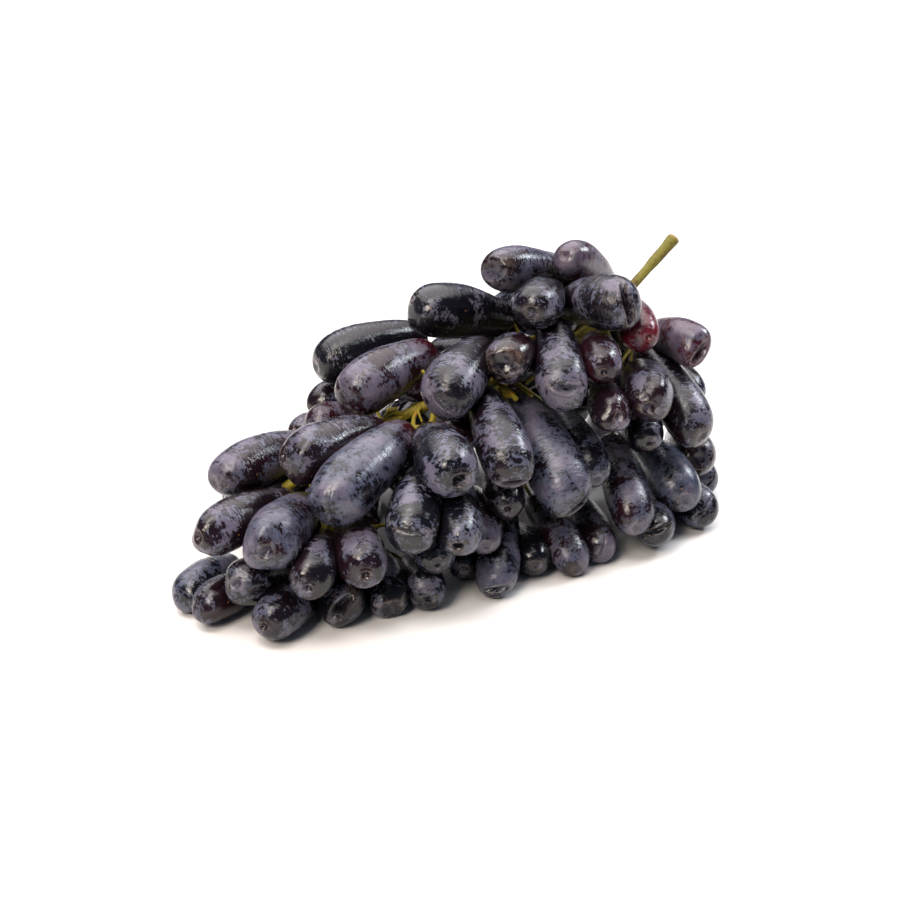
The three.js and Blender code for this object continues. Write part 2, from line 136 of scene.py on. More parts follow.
@dataclass(frozen=True)
class Look:
    """How one berry looks, read from the photograph.

    Turn is the angle of the pit's long side in the picture, in degrees. Aside is where the pit stands from
    the tip's middle, right and up in the picture, as shares of the radius. Neck is 1 for the mould's own
    neck, more for a slimmer one and less for a fuller one. The rest run from 0 to 1.
    """

    tip: Tip = Tip.PLAIN
    turn: float = 0.0
    aside: Pixel = (0.0, 0.0)
    bloom: float = 0.5
    red: float = 0.0
    root_red: float = 0.08
    ripple: float = 0.4
    neck: float = 1.0
    # Painted highlight: how strongly the pit's rim is painted pale, as a glint of light.
    painted_rim_highlight: float = 0.12


# The berries that the photograph shows: the pixels of the blunt tip and of the end at the stalk, length and
# widest radius in mm, and the look, all read one by one.
SHOWN: dict[str, tuple[Pixel, Pixel, float, float, Look]] = {
    "b34": ((180, 599), (232, 562), 34, 6.9, Look(Tip.NAVEL, 60, (-0.3, 0.1), 0.64)),
    "b35": ((232, 588), (290, 565), 36, 7.6, Look(Tip.LOBED, 20, (0.0, 0.0), 0.54, 0.05)),
    "b36": ((205, 613), (268, 604), 31, 6.6, Look(Tip.LINE, 70, (-0.2, 0.2), 0.48, 0.1)),
    "b37": ((268, 624), (318, 596), 36, 7.4, Look(Tip.NAVEL, 0, (0.0, 0.0), 0.5, 0.06)),
    "b38": ((308, 594), (322, 548), 31, 7.1, Look(Tip.NAVEL, 0, (0.0, 0.0), 0.44, 0.05)),
    "b39": ((337, 608), (350, 575), 36, 8.0, Look(Tip.HEART, 55, (0.1, 0.2), 0.42)),
    "b33": ((262, 552), (306, 497), 42, 9.0,
            Look(Tip.LOBED, 15, (0.15, 0.1), 0.74, 0.12, neck=1.35, ripple=0.7)),
    "b32": ((200, 540), (298, 487), 42, 7.9, Look(Tip.LOBED, 80, (0.0, 0.2), 0.4, 0.1, neck=1.2)),
    "b31": ((220, 484), (315, 440), 44, 8.4, Look(Tip.PLAIN, 0, (-0.2, 0.0), 0.5, 0.12, ripple=0.9)),
    "b30": ((286, 466), (380, 428), 42, 9.0, Look(Tip.LOBED, 75, (-0.3, 0.3), 0.45, 0.1, ripple=0.5)),
    "b29": ((325, 522), (413, 441), 48, 9.9, Look(Tip.LINE, 70, (0.3, 0.25), 0.66, 0.03, 0.55)),
    "b54": ((296, 430), (345, 430), 36, 6.5, Look(bloom=0.5, red=0.15)),
    "b55": ((313, 424), (355, 420), 36, 6.5, Look(Tip.NAVEL, bloom=0.4, red=0.3)),
    "b53": ((318, 408), (365, 392), 36, 7.0, Look(bloom=0.45, red=0.1)),
    "b8": ((315, 368), (425, 335), 45, 9.4, Look(Tip.PLAIN, 0, (0.0, 0.0), 0.14, ripple=0.8)),
    "b9": ((345, 402), (430, 352), 42, 9.3, Look(Tip.LINE, 115, (-0.1, 0.2), 0.52, 0.2, 0.45)),
    "b3": ((411, 310), (512, 318), 42, 9.8, Look(Tip.NAVEL, 90, (0.0, 0.45), 0.26, ripple=0.5, neck=1.2)),
    "b1": ((490, 271), (563, 274), 38, 8.2, Look(Tip.RING, 5, (0.1, 0.0), 0.6, 0.12, 0.7)),
    "b2": ((564, 260), (610, 285), 36, 7.2, Look(Tip.PLAIN, 0, (0.0, 0.0), 0.75, 0.4)),
    "b4": ((530, 312), (548, 292), 36, 8.3, Look(Tip.PLAIN, 0, (0.0, 0.0), 0.42, 0.05, ripple=0.5)),
    "b5": ((629, 306), (568, 292), 40, 9.5, Look(Tip.CLEFT, 100, (-0.1, 0.1), 0.42, 0.06, ripple=1.0)),
    "b6": ((645, 343), (625, 305), 36, 7.0, Look(Tip.NAVEL, 30, (0.2, 0.2), 0.4, 0.9, 0.9)),
    "b7": ((703, 348), (655, 328), 36, 8.0, Look(Tip.HEART, 65, (0.0, -0.2), 0.74, 0.5, ripple=0.3)),
    "b10": ((435, 407), (470, 350), 42, 9.6, Look(Tip.LINE, 130, (0.0, 0.1), 0.46, 0.05, ripple=0.8)),
    "b11": ((502, 362), (518, 356), 38, 8.3, Look(Tip.RING, 0, (0.0, 0.0), 0.32, 0.04, painted_rim_highlight=0.14)),
    "b12": ((567, 402), (562, 326), 42, 8.7, Look(Tip.LIP, 0, (0.1, 0.45), 0.46, 0.06, ripple=0.6)),
    "b13": ((609, 372), (596, 338), 36, 7.0, Look(Tip.NAVEL, 0, (0.0, 0.0), 0.42, 0.16, 0.4)),
    "b14": ((611, 420), (598, 392), 34, 6.8, Look(Tip.LOBED, 70, (0.25, 0.1), 0.24, 0.08)),
    "b15": ((653, 410), (625, 378), 42, 8.7, Look(Tip.LOBED, 0, (-0.1, -0.1), 0.45, 0.12, ripple=0.7)),
    "b16": ((700, 443), (643, 362), 46, 8.8, Look(Tip.PLAIN, 0, (0.0, 0.2), 0.45, 0.06, neck=0.9)),
    "b17": ((694, 398), (655, 362), 42, 7.5, Look(bloom=0.5, red=0.1)),
    "b18": ((704, 462), (672, 425), 42, 8.0, Look(Tip.RING, 20, (0.0, 0.2), 0.45, 0.1)),
    "b20": ((691, 492), (634, 438), 46, 9.0, Look(Tip.PLAIN, 0, (0.0, 0.0), 0.84, neck=0.9)),
    "b21": ((706, 488), (675, 455), 34, 7.4, Look(Tip.LINE, 60, bloom=0.6)),
    "b22": ((704, 510), (680, 482), 34, 7.6, Look(Tip.LINE, 40, (0.0, 0.3), 0.6)),
    "b23": ((650, 546), (642, 515), 36, 7.0, Look(Tip.LIP, 15, (0.1, 0.2), 0.6)),
    "b24": ((633, 529), (610, 438), 44, 7.8, Look(Tip.PLAIN, 0, (0.0, 0.0), 0.62, 0.1, neck=0.85)),
    "b25": ((598, 481), (552, 408), 42, 7.4, Look(Tip.PLAIN, 0, (0.0, 0.0), 0.66, neck=0.9)),
    "b26": ((573, 508), (517, 398), 50, 10, Look(Tip.LIP, 35, (0.25, 0.1), 0.66, 0.05, ripple=0.6, neck=0.8)),
    "b27": ((514, 482), (476, 402), 42, 8.6, Look(Tip.LIP, 15, (0.0, -0.1), 0.45, 0.04, neck=0.9)),
    "b28": ((459, 492), (432, 438), 40, 9.2, Look(Tip.FUNNEL, 10, (0.1, 0.05), 0.42, neck=1.15)),
    "b41": ((405, 552), (425, 478), 42, 8.7, Look(Tip.LINE, -15, (0.0, 0.3), 0.42, ripple=0.6)),
    "b42": ((457, 547), (458, 500), 38, 7.0, Look(Tip.FUNNEL, 15, (-0.1, 0.1), 0.45)),
    "b43": ((483, 545), (478, 500), 38, 6.6, Look(bloom=0.55, red=0.15)),
    "b44": ((507, 508), (496, 470), 38, 7.0, Look(Tip.NAVEL, bloom=0.3, red=0.05)),
    "b45": ((442, 563), (430, 528), 32, 7.0, Look(bloom=0.6)),
    "b40": ((373, 580), (355, 535), 36, 8.0, Look(Tip.NAVEL, 0, (0.0, 0.0), 0.5, 0.12)),
    "b46": ((404, 597), (400, 552), 30, 7.0, Look(Tip.RING, 5, (0.0, -0.2), 0.55)),
    "b47": ((427, 595), (440, 565), 30, 7.0, Look(bloom=0.5)),
    "b48": ((468, 570), (476, 540), 31, 6.4, Look(bloom=0.25)),
    "b49": ((491, 588), (504, 512), 42, 7.2, Look(Tip.LIP, 20, (0.0, 0.1), 0.62)),
    "b50": ((530, 570), (522, 525), 34, 6.6, Look(bloom=0.3)),
    "b51": ((566, 573), (520, 505), 40, 7.0, Look(bloom=0.6, red=0.15)),
    "b52": ((598, 556), (568, 500), 42, 7.2, Look(Tip.LINE, 80, (0.0, 0.4), 0.55, 0.1)),
    "b58": ((652, 437), (622, 405), 40, 7.4, Look(bloom=0.3)),
    "b57": ((452, 432), (462, 405), 38, 7.0, Look(bloom=0.35, red=0.3)),
}
# Three of them stand behind the ridge, and six are deep between others: how far through the mound the tip is,
# 0 at its near skin.
BEHIND: dict[str, float] = {
    "b54": 0.42, "b55": 0.38, "b53": 0.45, "b57": 0.14, "b17": 0.25,
    "b18": 0.1, "b58": 0.1, "b22": 0.08, "b21": 0.12,
}
# Hidden berries that move in the fine model: shifts of the tip and of the other end in mm, and how much
# wider. The other end of the first moves by 22 mm, and the rest move by 2 to 5 mm.
NUDGED: dict[int, tuple[tuple[float, float, float], tuple[float, float, float], float]] = {
    83: ((0.0, 3.0, -2.0), (-4.0, 14.0, -17.0), 0.95),
    91: ((-4.0, 0.0, 3.0), (-3.0, 0.0, 3.0), 1.15),
    74: ((0.0, 0.0, 2.0), (0.0, 0.0, 2.0), 1.15),
    95: ((4.0, 0.0, 0.0), (4.5, 0.0, 0.0), 1.08),
}


@dataclass(frozen=True)
class Mound:
    """The mound that the tips lie on, by its height and half width at stations along a line on the table."""

    start: Pixel = (-85.0, -25.0)
    along: Pixel = (165.0, 100.0)
    station: tuple[float, ...] = (-8, 0, 30, 60, 85, 110, 130, 150, 175, 195, 207)
    height: tuple[float, ...] = (18, 38, 46, 58, 74, 90, 98, 94, 80, 52, 16)
    half: tuple[float, ...] = (16, 30, 48, 51, 52, 54, 57, 57, 48, 30, 10)
    power: float = 2.4
    widest: float = 0.25

    def section(self, values: tuple[float, ...], station: np.ndarray, beyond: float) -> np.ndarray:
        """The height or half width at a station, by straight lines between the stations read."""
        return np.interp(station, self.station, values, left=beyond, right=beyond)

    def outside(self, points: np.ndarray) -> np.ndarray:
        """Tells the inside of the mound from the outside.

        Args:
            points: places in mm.

        Returns:
            A number for each, below nought inside and above nought outside.
        """
        line = unit(np.array(self.along))
        dx, dy = points[..., 0] - self.start[0], points[..., 1] - self.start[1]
        station, aside = dx * line[0] + dy * line[1], -dx * line[1] + dy * line[0]
        height, half = self.section(self.height, station, 5.0), self.section(self.half, station, 3.0)
        rise = np.maximum(points[..., 2] - self.widest * height, 0.0) / ((1.0 - self.widest) * height)
        return (np.abs(aside) / half) ** self.power + rise ** self.power - 1.0

    def seen_at(self, pixel: Pixel, behind: float) -> np.ndarray:
        """Where a line of sight meets the mound, or passes closest to it.

        Args:
            pixel: the pixel that the line of sight goes through.
            behind: how far through the mound to go on.

        Returns:
            The place, in mm.
        """
        steps = VIEW.distance - 150.0 + 0.5 * np.arange(601)
        points = VIEW.eye + steps[:, None] * VIEW.ray(pixel)
        depths = self.outside(points) + np.maximum(3.0 - points[:, 2], 0.0) * 0.2
        inside = np.flatnonzero(depths < 0)
        if not len(inside):
            return points[np.argmin(depths)]
        return points[int(inside[0] + behind * (inside[-1] - inside[0]))]

    def over(self, station: float, angle: float, drop: float) -> np.ndarray:
        """A place on the mound.

        Args:
            station: how far along the mound's line, in mm.
            angle: the angle over it, from -90 at the near edge to 90 at the far one.
            drop: how high a place past 70 degrees stands, as a share of what it would be.

        Returns:
            The place, in mm.
        """
        height = float(self.section(self.height, station, 5.0))
        half = float(self.section(self.half, station, 3.0))
        s, c = math.sin(math.radians(angle)), math.cos(math.radians(angle))
        k = (abs(s) ** self.power + abs(c) ** self.power) ** (-1.0 / self.power)
        base = self.widest * height
        rise = (base + (height - base) * c * k) * (drop if angle > 70 else 1.0)
        line = unit(np.array(self.along))
        spot = np.array(self.start) + line * station + np.array([-line[1], line[0]]) * half * s * k
        return np.array([spot[0], spot[1], rise])

    def faces_away(self, point: np.ndarray) -> float:
        """How far the mound turns away from the camera at a point, from -1 to 1."""
        step = 0.5 * np.eye(3)
        slope = self.outside(point + step) - self.outside(point - step)
        return float(unit(slope) @ unit(point - VIEW.eye))


@dataclass(frozen=True)
class StalkLine:
    """The main stalk's line from its cut end down through the bunch."""

    points: tuple[tuple[float, float, float], ...] = (
        (82, 75, 96), (72, 68, 86), (60, 58, 74), (42, 46, 62),
        (20, 34, 55), (-8, 18, 49), (-34, 4, 40), (-54, -9, 30),
    )
    first_lateral: float = 1.0

    def at(self, place: float) -> np.ndarray:
        """The point at a place, counted in control points."""
        line = np.array(self.points, float)
        k = min(max(place, 0.0), len(line) - 1.001)
        return line[int(k)] + (line[int(k) + 1] - line[int(k)]) * (k % 1)

    def nearest(self, point: np.ndarray) -> float:
        """How far down the stalk the place nearest to a point is."""
        line = np.array(self.points, float)
        run = line[1:] - line[:-1]
        share = np.clip(((point - line[:-1]) * run).sum(1) / (run * run).sum(1), 0.0, 1.0)
        k = int(np.argmin(np.linalg.norm(line[:-1] + run * share[:, None] - point, axis=1)))
        return k + float(share[k])

    def string(self) -> np.ndarray:
        """33 points below the bare end."""
        reach = len(self.points) - 1 - self.first_lateral
        return np.array([self.at(self.first_lateral + reach * k / 32) for k in range(33)])


# The bunch's outline in the photograph, in pixels: no hidden berry may stand out of it.
EDGE = (
    (173, 602), (194, 562), (192, 535), (200, 506), (215, 478), (226, 456), (290, 436), (292, 418),
    (316, 394), (312, 362), (322, 338), (410, 322), (410, 302), (422, 284), (472, 280), (474, 260),
    (495, 247), (560, 250), (586, 248), (606, 272), (632, 288), (644, 318), (676, 317), (706, 334),
    (704, 362), (694, 376), (714, 422), (716, 510), (694, 532), (666, 550), (600, 562), (510, 594),
    (430, 600), (350, 626), (275, 636), (215, 630),
)


def inside_edge(centres: np.ndarray, radii: np.ndarray, share: float) -> bool:
    """Tells whether balls stand inside the bunch's outline in the photograph.

    Args:
        centres: their centres, in mm.
        radii: their radii, in mm.
        share: how much of a radius has to be inside.

    Returns:
        Whether all of them do.
    """
    across, down, depth = VIEW.pixels(centres)
    a = np.array(EDGE, float)
    b = np.roll(a, -1, axis=0)
    x, y = across[:, None], down[:, None]
    with np.errstate(divide="ignore", invalid="ignore"):
        cut = a[:, 0] + (b[:, 0] - a[:, 0]) * (y - a[:, 1]) / (b[:, 1] - a[:, 1])
    crossed = ((a[:, 1] > y) != (b[:, 1] > y)) & (x < cut)
    run = b - a
    t = np.clip(((x - a[:, 0]) * run[:, 0] + (y - a[:, 1]) * run[:, 1]) / (run * run).sum(1), 0.0, 1.0)
    nearest = np.hypot(x - a[:, 0] - run[:, 0] * t, y - a[:, 1] - run[:, 1] * t).min(1)
    return bool(np.all((crossed.sum(1) % 2 == 1) & (nearest > VIEW.focal * radii * share / depth)))


def draws(seed: int) -> Iterator[float]:
    """Seeded numbers from 0 to 1."""
    state = seed
    while True:
        state = (state * 1664525 + 1013904223) % 4294967296
        yield state / 4294967296


@dataclass
class Berries:
    """Berries as arrays: tips, ends at the stalk, lengths and widest radii in mm, and looks."""

    tip: np.ndarray
    root: np.ndarray
    length: np.ndarray
    radius: np.ndarray
    looks: list[Look]
    beads: int = 8
    neck: float = 0.66
    bow: float = 0.035

    def __len__(self) -> int:
        """The number of berries."""
        return len(self.length)

    def taken(self, keep: np.ndarray) -> "Berries":
        """The berries of some indices."""
        looks = [self.looks[k] for k in keep]
        return Berries(self.tip[keep], self.root[keep], self.length[keep], self.radius[keep], looks)

    def joined(self, more: "Berries") -> "Berries":
        """These berries and more of them."""
        names = ("tip", "root", "length", "radius")
        arrays = (np.concatenate((getattr(self, name), getattr(more, name))) for name in names)
        return Berries(*arrays, self.looks + more.looks)

    def lifts(self) -> np.ndarray:
        """The direction that each berry bows in."""
        axis = (self.tip - self.root) / self.length[:, None]
        lift = np.array([0.0, 0.0, 1.0]) - axis * axis[:, 2:]
        return lift / np.maximum(np.linalg.norm(lift, axis=1, keepdims=True), 0.3)

    def strings(self, beads: int = 0) -> tuple[np.ndarray, np.ndarray, np.ndarray]:
        """The string of balls that stands for each berry, from the end at the stalk.

        Args:
            beads: how many balls, or 0 for the number that the placing rule uses.

        Returns:
            Centres, radii, and shares of the length.
        """
        count = beads or self.beads
        k = np.arange(count) / (count - 1)
        t = np.minimum(1.0, k / 0.75)
        radii = self.radius[:, None] * (self.neck + (1.0 - self.neck) * t * t * (3.0 - 2.0 * t))
        run = self.length[:, None] - radii[:, :1] - radii[:, -1:]
        share = (radii[:, :1] + run * k) / self.length[:, None]
        bow = self.bow * self.length[:, None] * 4.0 * share * (1.0 - share)
        line = self.root[:, None] + (self.tip - self.root)[:, None] * share[..., None]
        return line + self.lifts()[:, None] * bow[..., None], radii, share


@dataclass
class Settling:
    """One run of the rule by which berries push each other apart and lie down on the table.

    Pull holds how firmly tip and root are drawn home, across and along the line of sight. The first `still`
    berries don't move, and the first `firm` ones give less way. Linked berries are drawn together until they
    press into each other by `press` mm. Low ones sink into the table by `sink` mm.
    """

    passes: int
    gap: float
    pull: tuple[float, float, float, float]
    still: int = 0
    firm: int = 0
    links: frozenset[tuple[int, int]] = frozenset()
    firm_give: float = 0.08
    even_give: float = 0.225
    whole_give: float = 0.45
    press: float = 1.9
    sink: float = 0.7
    drop: float = 8.0
    room: float = 3.2

    def run(self, berries: Berries, stalk: np.ndarray) -> None:
        """Moves the berries.

        Args:
            berries: the berries, whose tips and roots are changed.
            stalk: points along the main stalk.
        """
        home_tip, home_root = berries.tip.copy(), berries.root.copy()
        sights = unit(home_tip - VIEW.eye), unit(home_root - VIEW.eye)
        first, second = np.triu_indices(len(berries), 1)
        keep = second >= self.still
        first, second = first[keep], second[keep]
        linked = np.array([pair in self.links for pair in zip(first.tolist(), second.tolist())])
        held = (first < self.firm) & (second >= self.firm)
        give = np.where(first < self.still, 0.0, np.where(held, self.firm_give, self.even_give))
        reach = (berries.length[first] + berries.length[second]) / 2 + 3
        free = np.arange(len(berries)) >= self.still
        for step in range(self.passes):
            centres, radii, shares = berries.strings()
            middle = (berries.tip + berries.root) / 2
            near = np.flatnonzero(np.linalg.norm(middle[first] - middle[second], axis=1) <= reach)
            i, j = first[near], second[near]
            gaps = centres[i][:, :, None] - centres[j][:, None]
            apart = np.sqrt((gaps * gaps).sum(-1))
            rooms = (apart - radii[i][:, :, None] - radii[j][:, None]).reshape(len(i), -1)
            best = rooms.argmin(1)
            rows = np.arange(len(i))
            a, b = best // berries.beads, best % berries.beads
            wanted = np.where(linked[near], -self.press, self.gap)
            amount = np.where((rooms[rows, best] < wanted) | linked[near], wanted - rooms[rows, best], 0.0)
            way = gaps[rows, a, b] / apart[rows, a, b][:, None]
            tips, roots = np.zeros_like(berries.tip), np.zeros_like(berries.root)
            self.push(tips, roots, i, shares[i, a], way, amount * give[near])
            self.push(tips, roots, j, shares[j, b], -way, amount * (self.whole_give - give[near]))
            self.push_off_stalk(tips, roots, centres, radii, shares, stalk)
            self.push_to_table(tips, roots, centres, radii, shares)
            fade = max(0.0, 1.0 - step / (self.passes * 0.85))
            for end, shift, home, sight, (across, along) in (
                (berries.tip, tips, home_tip, sights[0], self.pull[:2]),
                (berries.root, roots, home_root, sights[1], self.pull[2:]),
            ):
                end[free] += shift[free]
                back = home - end
                deep = sight * (back * sight).sum(1, keepdims=True)
                end[free] += ((back - deep) * fade * across + deep * fade * along)[free]
            middle = (berries.tip + berries.root) / 2
            half = unit(berries.tip - berries.root) * (berries.length / 2)[:, None]
            # Whole thousandths, so that the last digits of a sum never decide where a berry ends up.
            berries.tip[free] = np.floor((middle + half)[free] * 1000.0 + 0.5) * 0.001
            berries.root[free] = np.floor((middle - half)[free] * 1000.0 + 0.5) * 0.001

    @staticmethod
    def push(tips: np.ndarray, roots: np.ndarray, who: np.ndarray, share: np.ndarray, way: np.ndarray,
             amount: np.ndarray) -> None:
        """Adds pushes on single balls to the shifts of the two ends of their berries.

        Args:
            tips: the tips' shifts, which are added to.
            roots: the other ends' shifts, which are added to.
            who: the berry of each push.
            share: how far along its berry each push is.
            way: the direction of each push.
            amount: how far each push goes, in mm.
        """
        weight = amount / (share * share + (1.0 - share) ** 2)
        np.add.at(tips, who, way * (weight * share)[:, None])
        np.add.at(roots, who, way * (weight * (1.0 - share))[:, None])

    def push_off_stalk(self, tips: np.ndarray, roots: np.ndarray, centres: np.ndarray, radii: np.ndarray,
                       shares: np.ndarray, stalk: np.ndarray) -> None:
        """Pushes berries off the main stalk.

        Args:
            tips: the tips' shifts, which are added to.
            roots: the other ends' shifts, which are added to.
            centres: the berries' balls.
            radii: their radii.
            shares: how far along its berry each ball is.
            stalk: points along the main stalk.
        """
        rows = np.arange(len(centres))
        gaps = centres[:, :, None] - stalk
        apart = np.sqrt((gaps * gaps).sum(-1))
        rooms = (apart - radii[:, :, None] - self.room).reshape(len(centres), -1)
        best = rooms.argmin(1)
        a, b = best // len(stalk), best % len(stalk)
        amount = np.maximum(-rooms[rows, best], 0.0) * 0.5
        self.push(tips, roots, rows, shares[rows, a], gaps[rows, a, b] / apart[rows, a, b][:, None], amount)

    def push_to_table(self, tips: np.ndarray, roots: np.ndarray, centres: np.ndarray, radii: np.ndarray,
                      shares: np.ndarray) -> None:
        """Lifts what is under the table, and lets down what is just above it.

        Args:
            tips: the tips' shifts, which are added to.
            roots: the other ends' shifts, which are added to.
            centres: the berries' balls.
            radii: their radii.
            shares: how far along its berry each ball is.
        """
        rows = np.arange(len(centres))
        low = centres[..., 2] - radii
        best = low.argmin(1)
        under = -self.sink - low[rows, best]
        amount = np.where(under > -self.drop, under * np.where(under > 0, 0.8, 0.1), 0.0)
        self.push(tips, roots, rows, shares[rows, best], np.array([[0.0, 0.0, 1.0]]), amount)


@dataclass
class Bunch:
    """The whole placing rule: the shown berries, the hidden ones, and how they part into sprays."""

    mound: Mound = field(default_factory=Mound)
    stalk: StalkLine = field(default_factory=StalkLine)
    seed: int = 7
    hidden_length: Pixel = (34.0, 43.0)
    slim: Pixel = (0.185, 0.205)
    within: float = 0.8
    # Throws, least distance between two tips, size against the mound, and how far the mound must turn away.
    layers: tuple[tuple[int, float, float, float], ...] = ((2200, 19.5, 1.0, -0.1), (300, 17.0, 0.66, -1.0))
    most_in_spray: int = 7

    def shown(self) -> Berries:
        """The shown berries: each tip on the mound, and each other end on its own line of sight."""
        tips, roots = [], []
        for name, (tip_pixel, root_pixel, length, _, _) in SHOWN.items():
            tip = self.mound.seen_at(tip_pixel, BEHIND.get(name, 0.0))
            ray = VIEW.ray(root_pixel)
            nearest = VIEW.eye + ray * ((tip - VIEW.eye) @ ray)
            aside = float(np.linalg.norm(nearest - tip))
            further = ray * math.sqrt(max(length * length - aside * aside, 0.0))
            tips.append(tip)
            roots.append(nearest + further if aside < length else tip + (nearest - tip) * (length / aside))
        rows = SHOWN.values()
        lengths = np.array([row[2] for row in rows], float)
        radii = np.array([row[3] for row in rows], float)
        return Berries(np.array(tips), np.array(roots), lengths, radii, [row[4] for row in rows])

    def hidden(self, shown: Berries) -> Berries:
        """Throws the berries that the photograph can't show at the mound, and keeps those that fit.

        Args:
            shown: the berries that it shows, which the new ones keep clear of.

        Returns:
            The new berries.
        """
        draw = draws(self.seed)

        def between(low: float, high: float) -> float:
            """The next draw, between two numbers."""
            return low + (high - low) * next(draw)

        taken = list(shown.tip)
        tips, roots, lengths, radii, looks = [], [], [], [], []
        for throws, apart, size, turned in self.layers:
            for _ in range(throws):
                station, angle, drop = between(-5, 203), between(-60, 90), between(0, 1)
                length = between(*self.hidden_length)
                radius = length * between(*self.slim)
                tip = self.mound.over(station, angle, drop)
                if self.mound.faces_away(tip) < turned:
                    continue
                ridge = self.mound.over(station, 0, 1)
                tip = (tip - ridge) * size + ridge * np.array([1.0, 1.0, size])
                tip[2] = max(tip[2], radius + 0.5)
                if not inside_edge(tip[None], np.array([radius]), self.within):
                    continue
                if np.min(np.linalg.norm(np.array(taken) - tip, axis=1)) < apart:
                    continue
                foot = self.stalk.at(max(self.stalk.nearest(tip) - 0.45, 2.2))
                taken.append(tip)
                tips.append(tip)
                roots.append(tip - unit(tip - foot) * length)
                lengths.append(length)
                radii.append(radius)
                looks.append(self.hidden_look(len(looks), in_shaded_heart=size < 1.0))
        return Berries(np.array(tips), np.array(roots), np.array(lengths), np.array(radii), looks)

    @staticmethod
    def hidden_look(k: int, in_shaded_heart: bool) -> Look:
        """A look for a berry that the photograph can't show.

        Args:
            k: which of them it is.
            in_shaded_heart: whether it is in the heart of the bunch, which gets less bloom and no red:
                painted shade deep between berries.

        Returns:
            The look.
        """
        draw = draws(900 + 17 * k)
        for _ in range(3):
            next(draw)
        tip = list(Tip)[int(next(draw) * len(Tip))]
        turn, aside = 180 * next(draw), (0.3 * next(draw) - 0.15, 0.3 * next(draw) - 0.15)
        # Painted shade: berries in the heart get less bloom and no red, so the deep gaps read dark.
        bloom, red = (0.12 if in_shaded_heart else 0.34) + 0.3 * next(draw), max(0.0, next(draw) - 0.75) * (not in_shaded_heart)
        root_red, ripple, neck = 0.2 * next(draw), 0.9 * next(draw), 0.85 + 0.35 * next(draw)
        return Look(tip, turn, aside, bloom, red, root_red, ripple, neck)

    @staticmethod
    def rooms(berries: Berries) -> np.ndarray:
        """The least room between every two berries."""
        centres, radii, _ = berries.strings()
        apart = np.linalg.norm(centres[:, None, :, None] - centres[None, :, None, :], axis=-1)
        rooms = (apart - radii[:, None, :, None] - radii[None, :, None, :]).min((2, 3))
        np.fill_diagonal(rooms, np.inf)
        return rooms

    def sprays(self, berries: Berries) -> tuple[list[int], frozenset[tuple[int, int]]]:
        """Sorts the berries into sprays: the closest pairs first, up to the size of a spray, then the strays.

        Args:
            berries: the berries.

        Returns:
            The spray of each, and the pairs that join them.
        """
        rooms = self.rooms(berries)
        pairs = []
        for i in range(len(berries)):
            for j in range(i + 1, len(berries)):
                if rooms[i, j] < 9:
                    roots_apart = float(np.linalg.norm(berries.root[i] - berries.root[j]))
                    pairs.append((max(rooms[i, j], 0.0) + 0.25 * roots_apart, i, j))
        pairs.sort()
        spray, links = list(range(len(berries))), set()

        def join(wanted: Callable[[int, int], bool]) -> None:
            """Joins the sprays of each pair, where their two sizes are wanted together."""
            for _, i, j in pairs:
                a, b = spray[i], spray[j]
                if a != b and wanted(spray.count(a), spray.count(b)):
                    links.add((i, j))
                    spray[:] = [a if g == b else g for g in spray]

        join(lambda a, b: a + b <= self.most_in_spray)
        join(lambda a, b: min(a, b) <= 2)
        return spray, frozenset(links)

    @staticmethod
    def nudged(berries: Berries) -> Berries:
        """Moves a few hidden berries in the fine model, out of the windows to the stalk and into gaps.

        Args:
            berries: the berries as the rule places them, which stay as they are.

        Returns:
            The berries of the fine model.
        """
        moved = berries.taken(np.arange(len(berries)))
        for k, (tip, root, wider) in NUDGED.items():
            moved.tip[k] += tip
            moved.root[k] += root
            moved.length[k] = np.linalg.norm(moved.tip[k] - moved.root[k])
            moved.radius[k] *= wider
        return moved

    def place(self) -> tuple[Berries, list[list[int]]]:
        """Runs the rule.

        Returns:
            The berries, in the photo's frame, and the indices of each spray's berries from the cut end down.
        """
        string = self.stalk.string()
        shown = self.shown()
        Settling(300, 0.4, (0.3, 0.004, 0.08, 0.003)).run(shown, string)
        thrown = shown.joined(self.hidden(shown))
        count = len(shown)
        Settling(200, 0.6, (0.1, 0.01, 0.02, 0.0), still=count).run(thrown, string)
        centres, radii, _ = thrown.strings()
        rooms = self.rooms(thrown).min(1)
        keep = [k for k in range(len(thrown)) if k < count
                or (inside_edge(centres[k], radii[k], self.within) and rooms[k] > -0.5)]
        berries = thrown.taken(np.array(keep))
        spray, links = self.sprays(berries)
        Settling(200, 0.8, (0.05, 0.003, 0.02, 0.001), firm=count, links=links).run(berries, string)
        groups = [[k for k, g in enumerate(spray) if g == name] for name in dict.fromkeys(spray)]
        groups.sort(key=lambda group: self.stalk.nearest(berries.root[group].mean(0)))
        return berries, groups


